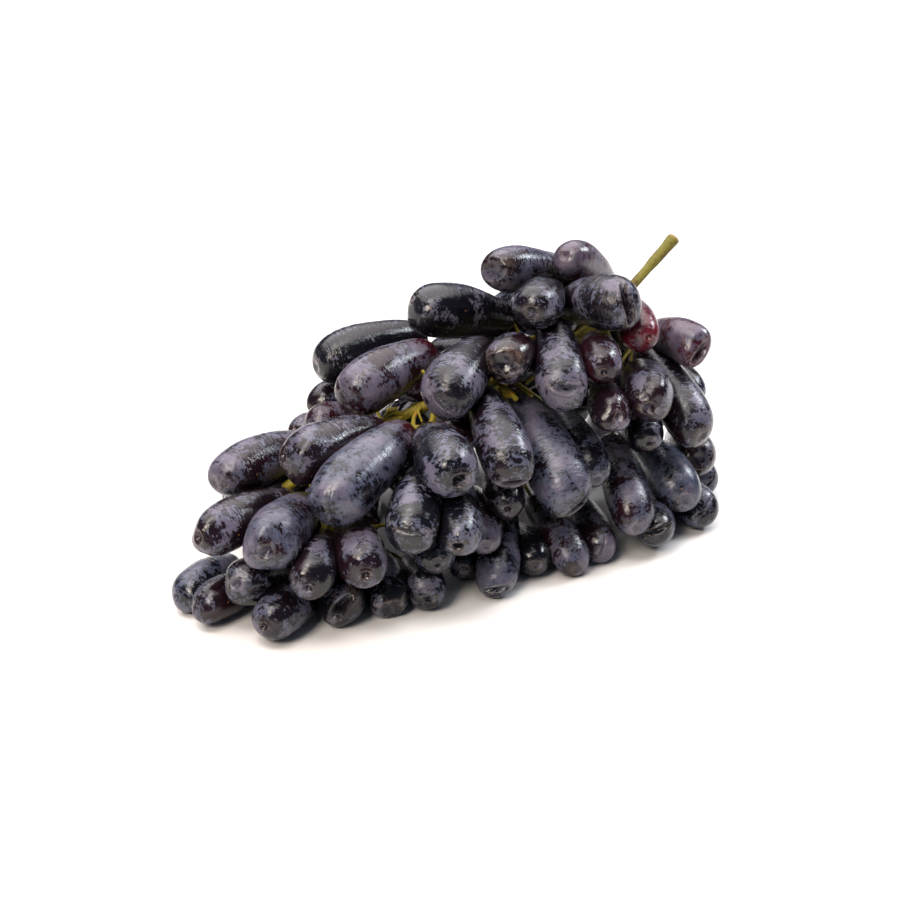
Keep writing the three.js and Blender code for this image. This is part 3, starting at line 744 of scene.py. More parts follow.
@dataclass
class Graph:
    """Adds nodes to a material and joins them."""

    material: bpy.types.Material

    @classmethod
    def new(cls, name: str) -> "Graph":
        """A graph for a new material."""
        material = bpy.data.materials.new(name)
        material.use_nodes = True
        return cls(material)

    def put(self, socket: bpy.types.NodeSocket, value: object) -> None:
        """Sets an input to a value, or joins an output to it."""
        if isinstance(value, bpy.types.NodeSocket):
            self.material.node_tree.links.new(value, socket)
        elif value is not None:
            socket.default_value = value

    def node(self, kind: str, inputs: dict[str | int, object] | None = None,
             **settings: object) -> bpy.types.Node:
        """Adds a node.

        Args:
            kind: its kind, without the word that all of them start with.
            inputs: values or outputs for its inputs.
            **settings: its other settings.

        Returns:
            The node.
        """
        node = self.material.node_tree.nodes.new("ShaderNode" + kind)
        for key, value in settings.items():
            setattr(node, key, value)
        for key, value in (inputs or {}).items():
            self.put(node.inputs[key], value)
        return node

    def attribute(self, name: str) -> bpy.types.Node:
        """Reads an attribute of the piece."""
        return self.node("Attribute", attribute_name=name)

    def stretched(self, vector: bpy.types.NodeSocket,
                  scale: tuple[float, float, float]) -> bpy.types.NodeSocket:
        """Scales a vector by its three parts."""
        return self.node("VectorMath", {0: vector, 1: scale}, operation="MULTIPLY").outputs[0]

    def noise(self, vector: bpy.types.NodeSocket, scale: float, detail: float = 4.0,
              roughness: float = 0.55, distortion: float = 0.0) -> bpy.types.NodeSocket:
        """Noise from 0 to 1."""
        inputs = {"Vector": vector, "Scale": scale, "Detail": detail, "Roughness": roughness,
                  "Distortion": distortion}
        return self.node("TexNoise", inputs).outputs["Fac"]

    def math(self, operation: str, *values: object) -> bpy.types.NodeSocket:
        """A sum, product or the like of numbers."""
        return self.node("Math", dict(enumerate(values)), operation=operation).outputs[0]

    def sum_of(self, *parts: tuple[float, bpy.types.NodeSocket],
               offset: float = 0.0) -> bpy.types.NodeSocket:
        """Adds values, each times a share, to an offset.

        Args:
            *parts: the shares and the values.
            offset: the offset.

        Returns:
            The sum.
        """
        total: object = offset
        for share, value in parts:
            total = self.node("Math", {0: value, 1: share, 2: total}, operation="MULTIPLY_ADD").outputs[0]
        return total

    def span(self, value: object, low: float, high: float, to_low: object = 0.0,
             to_high: object = 1.0) -> bpy.types.NodeSocket:
        """Maps low to high onto another range, with soft ends."""
        inputs = {"Value": value, "From Min": low, "From Max": high, "To Min": to_low, "To Max": to_high}
        return self.node("MapRange", inputs, interpolation_type="SMOOTHSTEP").outputs[0]

    def mix(self, share: object, first: object, second: object) -> bpy.types.NodeSocket:
        """Mixes two colours."""
        node = self.node("Mix", {0: share}, data_type="RGBA")
        for socket, value in ((node.inputs[6], first), (node.inputs[7], second)):
            self.put(socket, (*value, 1.0) if isinstance(value, tuple) else value)
        return node.outputs[2]

    def bump(self, height: bpy.types.NodeSocket, strength: float, distance: float,
             normal: bpy.types.NodeSocket | None = None) -> bpy.types.NodeSocket:
        """Relief from a height, over an earlier relief if there is one."""
        inputs = {"Height": height, "Strength": strength, "Distance": distance, "Normal": normal}
        return self.node("Bump", inputs).outputs[0]

    def surface(self, **inputs: object) -> bpy.types.Material:
        """Sets the shader's inputs, named with underscores for blanks, and gives the material."""
        shader = self.material.node_tree.nodes["Principled BSDF"]
        for key, value in inputs.items():
            value = (*value, 1.0) if isinstance(value, tuple) and len(value) == 3 else value
            self.put(shader.inputs[key.replace("_", " ")], value)
        return self.material


@dataclass(frozen=True)
class SkinFinish:
    """Black grape skin: a dark gloss under a dull blue bloom that is worn off in streaks."""

    black: tuple[float, float, float] = (0.0028, 0.0024, 0.0042)
    wine: tuple[float, float, float] = (0.085, 0.006, 0.012)
    blue_bloom: tuple[float, float, float] = (0.072, 0.087, 0.134)
    mauve_bloom: tuple[float, float, float] = (0.120, 0.088, 0.114)
    # The tip face: smooth skin without bloom, in a grey that is partly a painted reflection of the table
    # below.
    face: tuple[float, float, float] = (0.032, 0.028, 0.033)
    # Painted highlight: the pale colour painted on the pit's rim as a glint.
    painted_rim_highlight: tuple[float, float, float] = (0.42, 0.30, 0.22)
    scar: tuple[float, float, float] = (0.30, 0.12, 0.045)
    # How many features to the mm each pattern has, across the berry twice and along it.
    wide_grain: tuple[float, float, float] = (0.11, 0.11, 0.12)
    ragged_grain: tuple[float, float, float] = (0.44, 0.44, 0.58)
    fleck_grain: tuple[float, float, float] = (0.95, 0.95, 1.35)
    ripple_grain: tuple[float, float, float] = (0.26, 0.26, 1.15)
    dot_grain: tuple[float, float, float] = (0.16, 0.16, 0.16)
    # How much the wide patches, the ragged ones and the flecks say about where the bloom lies.
    patches: tuple[float, float, float] = (1.15, 0.85, 0.75)
    bloom_edge: Pixel = (-0.02, 0.022)
    # How deep the ripples, the ragged patches and the bloom's own thickness are, in mm.
    relief: tuple[float, float, float] = (0.30, 0.05, 0.025)
    refraction: float = 1.44

    def build(self) -> bpy.types.Material:
        """Makes the material. It reads the skin's own attributes: grain in mm, look and marks. The marks hold
        the tip face, a painted highlight on the pit's rim and painted shade in the pit.
        """
        g = Graph.new("grape_skin")
        grain = g.attribute("grain").outputs["Vector"]
        look = g.node("SeparateXYZ", {0: g.attribute("look").outputs["Vector"]}).outputs
        marks = g.node("SeparateXYZ", {0: g.attribute("marks").outputs["Vector"]}).outputs
        red, bloom, ripple = look[0], look[1], look[2]
        face, rim, pit = marks[0], marks[1], marks[2]

        wide = g.noise(g.stretched(grain, self.wide_grain), 1.0, 2.0, 0.5)
        ragged = g.noise(g.stretched(grain, self.ragged_grain), 1.0, 5.0, 0.62, 0.6)
        flecks = g.noise(g.stretched(grain, self.fleck_grain), 1.0, 3.0, 0.65, 0.5)
        ripples = g.noise(g.stretched(grain, self.ripple_grain), 1.0, 4.0, 0.6, 0.6)
        level = g.sum_of(*zip(self.patches, (wide, ragged, flecks)), offset=-0.5 * sum(self.patches))
        streaks = g.math("MULTIPLY", g.math("SUBTRACT", ripples, 0.5), g.sum_of((0.6, ripple), offset=0.08))
        level = g.math("ADD", g.math("ADD", level, streaks), g.sum_of((0.6, bloom), offset=-0.37))
        cover = g.span(level, *self.bloom_edge)
        thick = g.span(g.sum_of((1.0, wide), (0.8, ragged), (0.3, flecks)), 0.85, 1.30, 0.30, 1.0)
        coat = g.math("MULTIPLY", g.sum_of((0.97, cover), offset=0.03), thick)
        # Painted shade: bloom is taken out of the pit, deeper pits most, so the hollow reads dark.
        coat = g.math("MULTIPLY", coat, g.sum_of((-0.9, pit), offset=1.0))

        reddish = g.math("MULTIPLY", red, g.span(g.noise(grain, 0.17, 4.0, 0.6), 0.30, 0.62, 0.45, 1.0))
        dark = g.mix(g.math("POWER", reddish, 1.2), self.black, self.wine)
        mauve = g.math("ADD", reddish, g.span(wide, 0.44, 0.64, 0.0, 0.6))
        mauve = g.math("MINIMUM", g.math("MULTIPLY", mauve, 0.8), 1.0)
        dull = g.mix(mauve, self.blue_bloom, self.mauve_bloom)
        colour = g.mix(g.math("MULTIPLY", coat, 0.9), dark, dull)
        # The tip face loses its bloom mottling for a smooth grey, partly a painted reflection of the table
        # below.
        colour = g.mix(g.math("MULTIPLY", face, g.span(ragged, 0.38, 0.6, 0.0, 0.4)), colour, self.face)
        # Painted highlight: the pit's rim is painted pale, as a glint.
        colour = g.mix(g.math("MULTIPLY", rim, g.span(ragged, 0.40, 0.62)), colour, self.painted_rim_highlight)
        spots = {"Vector": g.stretched(grain, self.dot_grain), "Scale": 1.0, "Randomness": 1.0}
        cells = g.node("TexVoronoi", spots)
        dots = g.math("MULTIPLY", g.span(cells.outputs["Distance"], 0.035, 0.06, 1.0, 0.0),
                      g.span(cells.outputs["Color"], 0.55, 0.62))
        colour = g.mix(g.math("MULTIPLY", dots, 0.7), colour, self.scar)

        rough = g.math("ADD", g.sum_of((0.17, coat), (0.03, face)), g.span(flecks, 0.3, 0.7, 0.06, 0.10))
        folds = g.math("MULTIPLY", ripples, g.sum_of((1.0, ripple), offset=0.25))
        relief = g.bump(folds, 1.0, self.relief[0] * MM)
        relief = g.bump(ragged, 1.0, self.relief[1] * MM, relief)
        relief = g.bump(coat, 1.0, self.relief[2] * MM, relief)
        return g.surface(Base_Color=colour, Roughness=rough, Normal=relief, IOR=self.refraction)


@dataclass(frozen=True)
class StalkFinish:
    """Green wood, brown and rough at the cut end, yellow-green further in."""

    outer: tuple[float, float, float] = (0.150, 0.132, 0.016)
    inner: tuple[float, float, float] = (0.22, 0.175, 0.016)
    brown: tuple[float, float, float] = (0.075, 0.040, 0.012)
    orange: tuple[float, float, float] = (0.34, 0.13, 0.02)
    sawn: tuple[float, float, float] = (0.30, 0.22, 0.10)
    relief: float = 0.5

    def build(self) -> bpy.types.Material:
        """Makes the material. It reads Object coordinates and the stalk's own look attribute."""
        g = Graph.new("grape_stalk")
        place = g.node("TexCoord").outputs["Object"]
        look = g.node("SeparateXYZ", {0: g.attribute("look").outputs["Vector"]}).outputs
        outer, corky, cut = look[0], look[1], look[2]
        blotch = g.noise(place, 220.0, 5.0, 0.6)
        streak = g.noise(g.stretched(place, (900.0, 900.0, 260.0)), 1.0, 4.0, 0.6)
        colour = g.mix(outer, self.inner, self.outer)
        speckle = g.math("ADD", g.math("MULTIPLY", blotch, 0.6), g.math("MULTIPLY", streak, 0.5))
        browned = g.span(speckle, 0.50, 0.64)
        browned = g.math("MULTIPLY", browned, g.math("ADD", 0.25, g.math("MULTIPLY", outer, 0.5)))
        colour = g.mix(browned, colour, self.brown)
        colour = g.mix(corky, colour, self.orange)
        colour = g.mix(cut, colour, self.sawn)
        relief = g.bump(streak, 0.5, self.relief * MM)
        relief = g.bump(blotch, 0.3, self.relief * MM, relief)
        return g.surface(Base_Color=colour, Roughness=g.span(blotch, 0.3, 0.7, 0.48, 0.66), Normal=relief,
                         Specular_IOR_Level=0.25)


@dataclass(frozen=True)
class FloorFinish:
    """A plain pale floor."""

    colour: tuple[float, float, float] = (0.70, 0.685, 0.66)

    def build(self) -> bpy.types.Material:
        """Makes the material."""
        return Graph.new("floor").surface(Base_Color=self.colour, Roughness=0.6)


@dataclass
class BerryMould:
    """One berry turned from its outline, which is then moulded into every berry."""

    # The outline from the end at the stalk to the dimpled tip, as shares of length and radius.
    outline: tuple[Pixel, ...] = (
        (0.014, 0.0), (0.004, 0.10), (0.0, 0.22), (0.010, 0.38), (0.035, 0.52), (0.085, 0.63), (0.17, 0.73),
        (0.28, 0.82), (0.40, 0.90), (0.53, 0.965), (0.66, 1.0), (0.76, 0.985), (0.83, 0.94), (0.883, 0.87),
        (0.925, 0.77), (0.955, 0.655), (0.975, 0.53), (0.987, 0.40), (0.994, 0.27), (0.996, 0.13),
        (0.996, 0.0),
    )
    rings: int = 100
    around: int = 60

    def profile(self) -> list[Vector]:
        """The outline as an even run of points, closer together towards the tip."""
        knots = [Vector((out, 0.0, along)) for along, out in self.outline]
        knots = [2 * knots[0] - knots[1], *knots, 2 * knots[-1] - knots[-2]]
        points = []
        for k in range(self.rings + 1):
            place = (len(self.outline) - 1) * k / self.rings
            n = min(int(place), len(self.outline) - 2)
            t = place - n
            a, b, c, d = knots[n:n + 4]
            point = 0.5 * (2 * b + (c - a) * t + (2 * a - 5 * b + 4 * c - d) * t ** 2
                           + (3 * b - a - 3 * c + d) * t ** 3)
            points.append(Vector((max(point.x, 0.0), 0.0, point.z)))
        points[0].x = points[-1].x = 0.0
        return points

    def build(self) -> bpy.types.Mesh:
        """Spins the outline into a closed mesh of unit length and radius."""
        bm = bmesh.new()
        verts = [bm.verts.new(point) for point in self.profile()]
        edges = [bm.edges.new(pair) for pair in zip(verts, verts[1:])]
        bmesh.ops.spin(bm, geom=verts + edges, cent=(0, 0, 0), axis=(0, 0, 1), angle=math.tau,
                       steps=self.around, use_merge=True, use_duplicate=False)
        bmesh.ops.remove_doubles(bm, verts=bm.verts, dist=1e-6)
        bmesh.ops.recalc_face_normals(bm, faces=bm.faces)
        mesh = bpy.data.meshes.new("mould")
        bm.to_mesh(mesh)
        bm.free()
        return mesh


@dataclass
class BerrySkins:
    """All the fine berries: one piece to a spray."""

    berries: Berries
    groups: list[list[int]]
    mould: BerryMould = field(default_factory=BerryMould)
    plain_mould: BerryMould = field(default_factory=lambda: BerryMould(rings=56, around=40))
    tip_starts: float = 0.72
    touch: float = 0.05
    # Within this reach of another berry the bloom is thinned: rubbed off where berries press, and painted
    # shade in the gaps between them; open sides get a little more bloom, as painted light.
    rub_and_shade_reach: float = 4.5
    rubbed_and_shaded: float = 0.34

    def frames(self, k: int) -> tuple[np.ndarray, np.ndarray, np.ndarray]:
        """A berry's own directions.

        Args:
            k: its index.

        Returns:
            Right and up as the photograph shows them, and along the berry to the tip.
        """
        axis = unit(self.berries.tip[k] - self.berries.root[k])
        up = VIEW.upward - axis * (VIEW.upward @ axis)
        toward = -VIEW.ahead - axis * (-VIEW.ahead @ axis)
        if VIEW.upward @ axis < 0:
            up = up + toward * smooth(0.55, 0.95, np.array(-(VIEW.upward @ axis)))
        up = unit(up)
        return np.cross(up, axis), up, axis

    def shape(self, k: int, unit_points: np.ndarray) -> tuple[np.ndarray, dict[str, np.ndarray]]:
        """Moulds one berry.

        Args:
            k: its index.
            unit_points: the mould's points.

        Returns:
            Its points in the photo's frame, in mm, and its attributes.
        """
        look, length, radius = self.berries.looks[k], self.berries.length[k], self.berries.radius[k]
        draw = draws(7000 + 131 * k)
        chance = [next(draw) for _ in range(14)][2:]
        depth, half_long, half_wide, rim_height, lobes, lobe = look.tip.value
        t = unit_points[:, 2]
        out = np.hypot(unit_points[:, 0], unit_points[:, 1])
        angle = np.arctan2(unit_points[:, 1], unit_points[:, 0])

        necked = out * np.where(t < 0.66, np.power(np.maximum(out, 1e-6), look.neck - 1.0), 1.0)
        lump = (0.016 * np.cos(2 * angle + 7 * chance[0] + 1.5 * t)
                + 0.012 * np.cos(3 * angle + 6 * chance[1] - 3 * t)
                + 0.014 * np.sin(9 * t + 7 * chance[2]) * np.cos(angle + 6 * chance[3])
                + 0.008 * np.sin(17 * t + 3 * np.cos(angle + 5 * chance[4]) + 6 * chance[5]))
        fold = np.sin(t * length * 1.9 + 2.2 * np.cos(angle + 6 * chance[4])
                      + 1.3 * np.cos(3 * angle + 6 * chance[9]))
        patch = 0.3 + np.cos(2 * angle + 5 * t + 6 * chance[2]) + 0.6 * np.cos(5 * angle - 9 * t)
        patch = np.clip(patch, 0.0, 1.4)
        lump = lump + 0.011 * look.ripple * fold * patch * smooth(0.08, 0.2, t) * (1 - smooth(0.8, 0.9, t))
        end = smooth(self.tip_starts, 0.97, t)
        turn = math.radians(look.turn)
        lobing = np.cos(lobes * (angle - turn) + (0.0 if lobes == 2 else 6.3 * chance[6]))
        necked *= 1.0 + lump * np.sin(np.pi * np.clip(t, 0.0, 1.0)) ** 0.5 + lobe * lobing * end
        x, y = necked * np.cos(angle), necked * np.sin(angle)

        lean, lean_way = 0.06 + 0.12 * chance[7], 6.3 * chance[8]
        rise = lean * (x * math.cos(lean_way) + y * math.sin(lean_way)) * smooth(0.8, 0.99, t)
        rise += 0.9 * lobe * lobing * out ** 2 * smooth(0.85, 0.98, t)
        dx, dy = x - look.aside[0], y - look.aside[1]
        along, across = dx * math.cos(turn) + dy * math.sin(turn), -dx * math.sin(turn) + dy * math.cos(turn)
        across = across + 0.12 * np.sin(3.0 * along + 6 * chance[9]) * min(1.0, half_long - half_wide)
        far = np.sqrt((along / half_long) ** 2 + (across / half_wide) ** 2)
        at_end = smooth(0.80, 0.93, t)
        hollow = np.exp(-far ** 2) * at_end
        ring = np.exp(-((far - 1.75) / 0.55) ** 2) * at_end
        rise += -depth * hollow + rim_height * ring

        right, up, axis = self.frames(k)
        bow = self.berries.lifts()[k] * self.berries.bow * length
        share = np.clip(t, 0.0, 1.0)
        local = np.stack([x * radius, y * radius, t * length + rise * radius], axis=1)
        points = (self.berries.root[k] + local[:, :1] * right + local[:, 1:2] * up + local[:, 2:] * axis
                  + bow * (4.0 * share * (1.0 - share))[:, None])
        root_red = look.root_red * (1 - smooth(0.03, 0.32, t))
        side_red = 0.13 * chance[10] * np.maximum(np.cos(angle - 6.3 * chance[11]), 0.0) ** 3
        red = np.clip(look.red + root_red + side_red, 0.0, 1.0)
        attributes = {
            "grain": local + 500.0 * np.array([chance[0], chance[3], chance[5]]),
            "look": np.stack([red, np.full_like(t, look.bloom), np.full_like(t, look.ripple)], axis=1),
            # marks: the tip face, a painted highlight on the pit's rim, and painted shade in the pit.
            "marks": np.stack([smooth(0.972, 0.99, t) * (1 - ring), np.clip(ring * look.painted_rim_highlight, 0.0, 0.9),
                               np.clip(hollow * (0.25 + depth * 2.0), 0.0, 1.0)], axis=1),
        }
        return points, attributes

    def flatten(self, k: int, points: np.ndarray, beads: np.ndarray, radii: np.ndarray
                ) -> tuple[np.ndarray, np.ndarray]:
        """Presses a berry's skin flat where another berry touches it.

        Args:
            k: its index.
            points: its points.
            beads: the ball centres of all berries.
            radii: their radii.

        Returns:
            The moved points, and how near each is to another berry, from 0 to 1.
        """
        near = np.zeros(len(points))
        middle, reach = (self.berries.tip + self.berries.root) / 2, self.berries.length / 2
        for j in range(len(self.berries)):
            if j == k or np.linalg.norm(middle[j] - middle[k]) > reach[j] + reach[k] + 2:
                continue
            offset = points[:, None] - beads[j]
            apart = np.linalg.norm(offset, axis=2)
            room = apart - radii[j]
            best = room.argmin(1)
            rows = np.arange(len(points))
            near = np.maximum(near, 1.0 - smooth(0.2, self.rub_and_shade_reach, room[rows, best]))
            deep = self.touch - room[rows, best]
            pressed = deep > 0
            way = offset[rows, best] / apart[rows, best][:, None]
            points = points + np.where(pressed, deep * 0.5, 0.0)[:, None] * way
        return points, near

    def build(self, skin: bpy.types.Material) -> list[bpy.types.Object]:
        """Makes a piece for every spray.

        Args:
            skin: the skin's material.

        Returns:
            The pieces, from the cut end down.
        """
        moulds = [self.mould.build(), self.plain_mould.build()]
        unit_points = []
        for mould in moulds:
            flat = np.zeros(len(mould.vertices) * 3)
            mould.vertices.foreach_get("co", flat)
            unit_points.append(flat.reshape(-1, 3))
        beads, radii, _ = self.berries.strings(20)
        pieces = []
        for number, group in enumerate(self.groups, 1):
            which = [int(k >= len(SHOWN)) for k in group]
            shapes = [self.shape(k, unit_points[n]) for k, n in zip(group, which)]
            bm = bmesh.new()
            for n in which:
                bm.from_mesh(moulds[n])
            mesh = bpy.data.meshes.new(f"spray_{number:02d}_skins")
            bm.to_mesh(mesh)
            bm.free()
            pressed = [self.flatten(k, s[0], beads, radii) for k, s in zip(group, shapes)]
            for (_, near), (_, attributes) in zip(pressed, shapes):
                # Painted shade, partly real wear: less bloom near other berries, a little more on open sides.
                attributes["look"][:, 1] += self.rubbed_and_shaded * (0.3 - near)
            points = np.concatenate([p for p, _ in pressed])
            points[:, 2] = np.maximum(points[:, 2], 0.0)
            mesh.vertices.foreach_set("co", ((points + TO_ORIGIN) * MM).ravel())
            for name in ("grain", "look", "marks"):
                values = np.concatenate([s[1][name] for s in shapes])
                mesh.attributes.new(name, "FLOAT_VECTOR", "POINT").data.foreach_set("vector", values.ravel())
            mesh.materials.append(skin)
            mesh.shade_smooth()
            mesh.update()
            piece = bpy.data.objects.new(mesh.name, mesh)
            bpy.context.scene.collection.objects.link(piece)
            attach(piece, "root")
            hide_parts(f"berries_spray_{number:02d}")
            pieces.append(piece)
        for mould in moulds:
            bpy.data.meshes.remove(mould)
        return pieces


@dataclass(frozen=True)
class Twig:
    """A bit of stalk that shows between berries: pixels and depths in the photograph, and radii, in mm."""

    run: tuple[tuple[float, float, float, float], ...]

    def build(self) -> bpy.types.Mesh:
        """Makes the twig as a round tube."""
        curve = bpy.data.curves.new("twig", "CURVE")
        curve.dimensions, curve.bevel_depth, curve.bevel_resolution = "3D", MM, 3
        curve.resolution_u, curve.use_fill_caps = 5, True
        spline = curve.splines.new("NURBS")
        spline.points.add(len(self.run) - 1)
        for point, (across, down, depth, radius) in zip(spline.points, self.run):
            point.co, point.radius = (*((VIEW.point(across, down, depth) + TO_ORIGIN) * MM), 1.0), radius
        spline.use_endpoint_u, spline.order_u = True, 3
        carrier = bpy.data.objects.new("twig", curve)
        mesh = bpy.data.meshes.new_from_object(carrier)
        bpy.data.objects.remove(carrier)
        bpy.data.curves.remove(curve)
        return mesh


# Read from the photograph: the forks between b9, b29 and b10 and between b11 and b26, and the bits behind b4.
TWIGS: tuple[Twig, ...] = (
    Twig(((380, 441, 452, 1.0), (386, 433, 450, 1.05), (394, 424, 449, 1.1), (400, 417, 449, 1.2),
          (408, 412.5, 450, 1.15), (416, 408, 453, 1.1), (430, 401, 458, 1.1))),
    Twig(((381, 426, 449, 0.6), (382.5, 421, 448, 0.7), (387, 415.5, 447, 0.7), (394, 412, 447, 0.7),
          (399, 413, 448, 0.95), (403, 415, 449, 0.8))),
    Twig(((412.5, 437, 439, 0.7), (412.7, 431, 440, 0.95), (413.3, 424, 442, 0.75), (413.6, 418, 445, 0.75),
          (416, 413, 448, 0.8), (420, 408, 451, 0.8))),
    Twig(((418, 411, 448, 0.45), (420, 417, 446, 0.4), (422, 422, 444, 0.3))),
    Twig(((500, 385, 446, 0.6), (504, 387, 445, 0.75), (508.5, 390, 443, 0.7), (512, 394, 441, 0.9),
          (516, 399, 439, 0.9))),
    Twig(((487, 389, 448, 0.7), (490, 391, 447, 0.85), (494.5, 393.8, 446, 0.65), (502, 395, 444, 0.6),
          (509, 396, 442, 0.75), (513, 396, 441, 0.75))),
    Twig(((490, 395, 447, 0.55), (494, 400, 445, 0.7), (498, 404, 443, 0.7), (503, 408, 441, 0.8))),
    Twig(((494, 380, 452, 0.5), (489, 384, 450, 0.6), (487.5, 390, 448, 0.7))),
    Twig(((515, 383, 452, 0.5), (520, 387, 449, 0.6), (526, 391, 447, 0.6), (532, 396, 445, 0.6))),
    Twig(((526, 383, 452, 0.6), (530, 379, 451, 0.65), (537, 376, 450, 0.65))),
)


@dataclass
class Stalks:
    """The main stalk, the laterals and the pedicels, rounded from the plain solid."""

    voxel: float = 0.42
    smoothing: int = 6
    wider: float = 1.18
    flare: float = 0.22
    lower: float = 2.6
    # Where things change, by the distance from the middle of the cut, in mm: the green ends, the bare end is
    # lowered, it is flared, it is thicker, and the cut's own face ends.
    green: Pixel = (30.0, 62.0)
    lowered: Pixel = (4.0, 42.0)
    flared: Pixel = (0.5, 7.0)
    thicker: Pixel = (12.0, 17.0)
    face: Pixel = (1.6, 2.4)
    # Orange scars where twigs part: pixels, and how far each reaches.
    knots: tuple[tuple[float, float, float], ...] = (
        (383, 421, 3.0), (413, 431, 2.5), (416, 414, 2.5), (489, 391, 2.5), (511, 393, 2.5), (501, 406, 2.5),
    )

    def build(self, wood: bpy.types.Material) -> bpy.types.Object:
        """Makes the piece that stands for the stem.

        Args:
            wood: the stalk's material.

        Returns:
            The piece.
        """
        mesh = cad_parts["stem"].data.copy()
        mesh.name = "stalk_and_laterals"
        bm = bmesh.new()
        bm.from_mesh(mesh)
        bmesh.ops.remove_doubles(bm, verts=bm.verts, dist=1e-6)
        bm.to_mesh(mesh)
        bm.free()
        piece = bpy.data.objects.new(mesh.name, mesh)
        bpy.context.scene.collection.objects.link(piece)
        remesh = piece.modifiers.new("round", "REMESH")
        remesh.mode, remesh.voxel_size = "VOXEL", self.voxel * MM
        soften = piece.modifiers.new("soften", "SMOOTH")
        soften.factor, soften.iterations = 0.5, self.smoothing
        baked = bpy.data.meshes.new_from_object(piece.evaluated_get(bpy.context.evaluated_depsgraph_get()))
        piece.modifiers.clear()
        piece.data = baked
        bpy.data.meshes.remove(mesh)
        baked.name = piece.name
        bm = bmesh.new()
        bm.from_mesh(baked)
        for twig in TWIGS:
            mesh = twig.build()
            bm.from_mesh(mesh)
            bpy.data.meshes.remove(mesh)
        bm.to_mesh(baked)
        bm.free()
        points = np.zeros(len(baked.vertices) * 3)
        baked.vertices.foreach_get("co", points)
        points = points.reshape(-1, 3) / MM - TO_ORIGIN
        line = StalkLine()
        cut = np.array(line.points[0], float)
        apart = np.linalg.norm(points - cut, axis=1)
        outer = 1.0 - smooth(*self.green, apart)
        across, down, _ = VIEW.pixels(points)
        corky = np.zeros(len(points))
        for x, y, reach in self.knots:
            corky = np.maximum(corky, 1.0 - smooth(0.3 * reach, reach, np.hypot(across - x, down - y)))
        # The bare end stands a little lower than the plain solid's, and widens to the cut.
        near_cut = 1.0 - smooth(*self.lowered, apart)
        ahead = unit(line.at(0.0) - line.at(1.0))
        middle = line.at(0.0) + ((points - cut) @ ahead)[:, None] * ahead
        flare = self.wider + self.flare * (1.0 - smooth(*self.flared, apart))
        bare = (1.0 - smooth(*self.thicker, apart))[:, None]
        points = points + bare * (points - middle) * (flare[:, None] - 1.0)
        points[:, 2] -= self.lower * near_cut
        baked.vertices.foreach_set("co", ((points + TO_ORIGIN) * MM).ravel())
        look = np.stack([outer, corky, 1.0 - smooth(*self.face, apart)], axis=1)
        baked.attributes.new("look", "FLOAT_VECTOR", "POINT").data.foreach_set("vector", look.ravel())
        baked.materials.clear()
        baked.materials.append(wood)
        baked.shade_smooth()
        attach(piece, "root")
        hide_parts("stem")
        return piece


@dataclass
class Lamp:
    """A soft square lamp, aimed at the bunch."""

    name: str
    place: tuple[float, float, float]
    size: float
    watts: float
    colour: tuple[float, float, float]
    aim: tuple[float, float, float] = (0.0, 0.0, 0.045)

    def build(self) -> bpy.types.Object:
        """Makes the lamp."""
        light = bpy.data.lights.new(self.name, "AREA")
        light.shape, light.size, light.energy, light.color = "SQUARE", self.size, self.watts, self.colour
        lamp = bpy.data.objects.new(self.name, light)
        bpy.context.scene.collection.objects.link(lamp)
        lamp.location = self.place
        lamp.rotation_euler = (Vector(self.aim) - lamp.location).to_track_quat("-Z", "Y").to_euler()
        return lamp


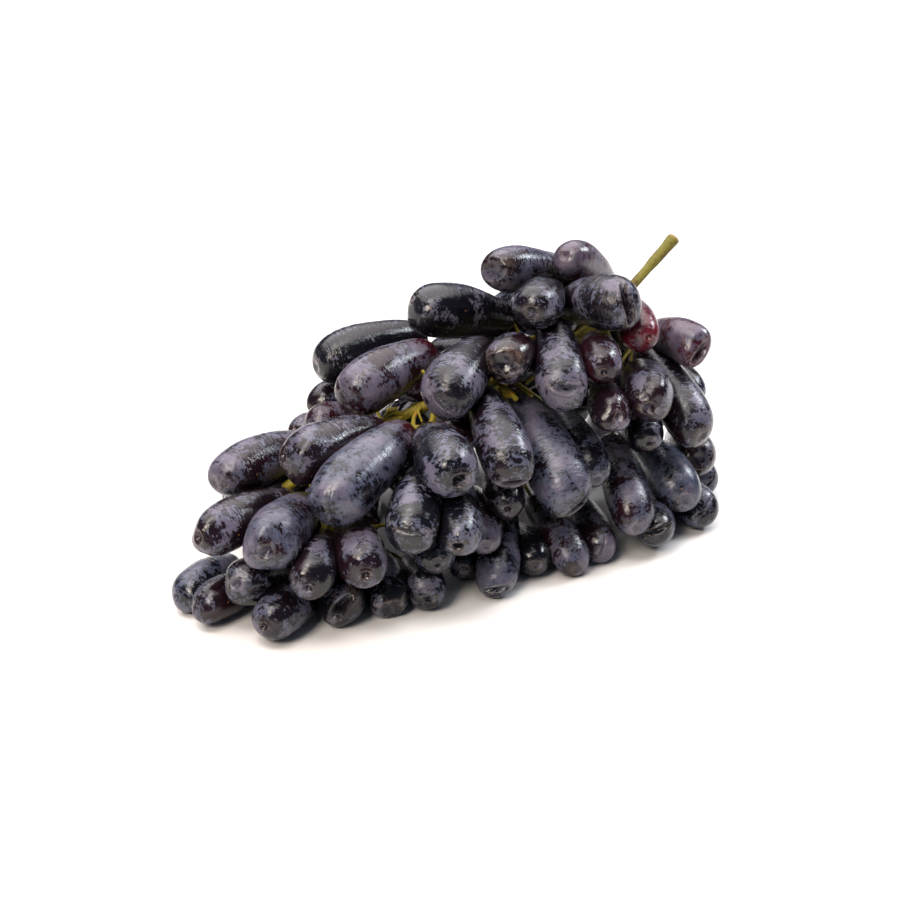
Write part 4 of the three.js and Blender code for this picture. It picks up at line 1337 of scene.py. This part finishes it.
@dataclass
class Studio:
    """Floor, soft light and the camera at the photograph's angle."""

    floor_size: float = 30.0
    low_sky: tuple[float, float, float, float] = (0.09, 0.11, 0.16, 1.0)
    high_sky: tuple[float, float, float, float] = (4.0, 3.78, 3.88, 1.0)
    brightest: tuple[float, float, float] = (-0.12, 0.30, 0.95)
    # Where the low sky ends and the high one begins, as cosines of the angle to the brightest direction.
    sky_edge: Pixel = (0.71, 0.79)
    lamps: tuple[Lamp, ...] = (
        Lamp("overhead", (-0.20, -0.28, 0.92), 0.34, 3.6, (1.0, 0.93, 0.86)),
        Lamp("key", (-0.36, -0.62, 0.58), 0.30, 6.4, (1.0, 0.90, 0.80)),
        Lamp("right_back", (0.62, 0.30, 0.55), 0.20, 5.0, (0.88, 0.94, 1.0)),
    )

    def build(self) -> None:
        """Makes all of it."""
        bm = bmesh.new()
        bmesh.ops.create_grid(bm, x_segments=4, y_segments=4, size=self.floor_size / 2)
        mesh = bpy.data.meshes.new("floor")
        bm.to_mesh(mesh)
        bm.free()
        mesh.materials.append(FloorFinish().build())
        floor = bpy.data.objects.new("floor", mesh)
        bpy.context.scene.collection.objects.link(floor)
        for lamp in self.lamps:
            lamp.build()
        world = bpy.data.worlds.new("surround")
        world.use_nodes = True
        tree = world.node_tree
        place, parts = tree.nodes.new("ShaderNodeTexCoord"), tree.nodes.new("ShaderNodeVectorMath")
        parts.operation = "DOT_PRODUCT"
        parts.inputs[1].default_value = Vector(self.brightest).normalized()
        rise, tint = tree.nodes.new("ShaderNodeMapRange"), tree.nodes.new("ShaderNodeMix")
        tint.data_type = "RGBA"
        rise.interpolation_type = "SMOOTHSTEP"
        for key, value in zip(("From Min", "From Max"), self.sky_edge):
            rise.inputs[key].default_value = value
        tint.inputs[6].default_value, tint.inputs[7].default_value = self.low_sky, self.high_sky
        tree.links.new(place.outputs["Generated"], parts.inputs[0])
        tree.links.new(parts.outputs["Value"], rise.inputs["Value"])
        tree.links.new(rise.outputs[0], tint.inputs[0])
        tree.links.new(tint.outputs[2], tree.nodes["Background"].inputs["Color"])
        bpy.context.scene.world = world
        bpy.context.scene.view_settings.view_transform = "Standard"
        self.camera()

    @staticmethod
    def camera() -> None:
        """Stands the camera where the photograph was taken from."""
        lens = bpy.data.cameras.new("camera")
        lens.sensor_fit, lens.sensor_width = "HORIZONTAL", SENSOR
        lens.lens = SENSOR * VIEW.focal / (2 * VIEW.centre)
        camera = bpy.data.objects.new("camera", lens)
        bpy.context.scene.collection.objects.link(camera)
        camera.location = (VIEW.eye + TO_ORIGIN) * MM
        camera.rotation_euler = Vector(VIEW.ahead).to_track_quat("-Z", "Y").to_euler()
        bpy.context.scene.camera = camera


def main() -> None:
    """Builds the bunch and its stage."""
    logging.basicConfig(level=logging.INFO, format="%(message)s")
    Studio().build()
    berries, groups = Bunch().place()
    LOG.info("%d berries in %d sprays", len(berries), len(groups))
    for piece in BerrySkins(Bunch.nudged(berries), groups).build(SkinFinish().build()):
        LOG.info("%s: %d faces", piece.name, len(piece.data.polygons))
    piece = Stalks().build(StalkFinish().build())
    LOG.info("%s: %d faces", piece.name, len(piece.data.polygons))


if __name__ == "__main__":
    main()
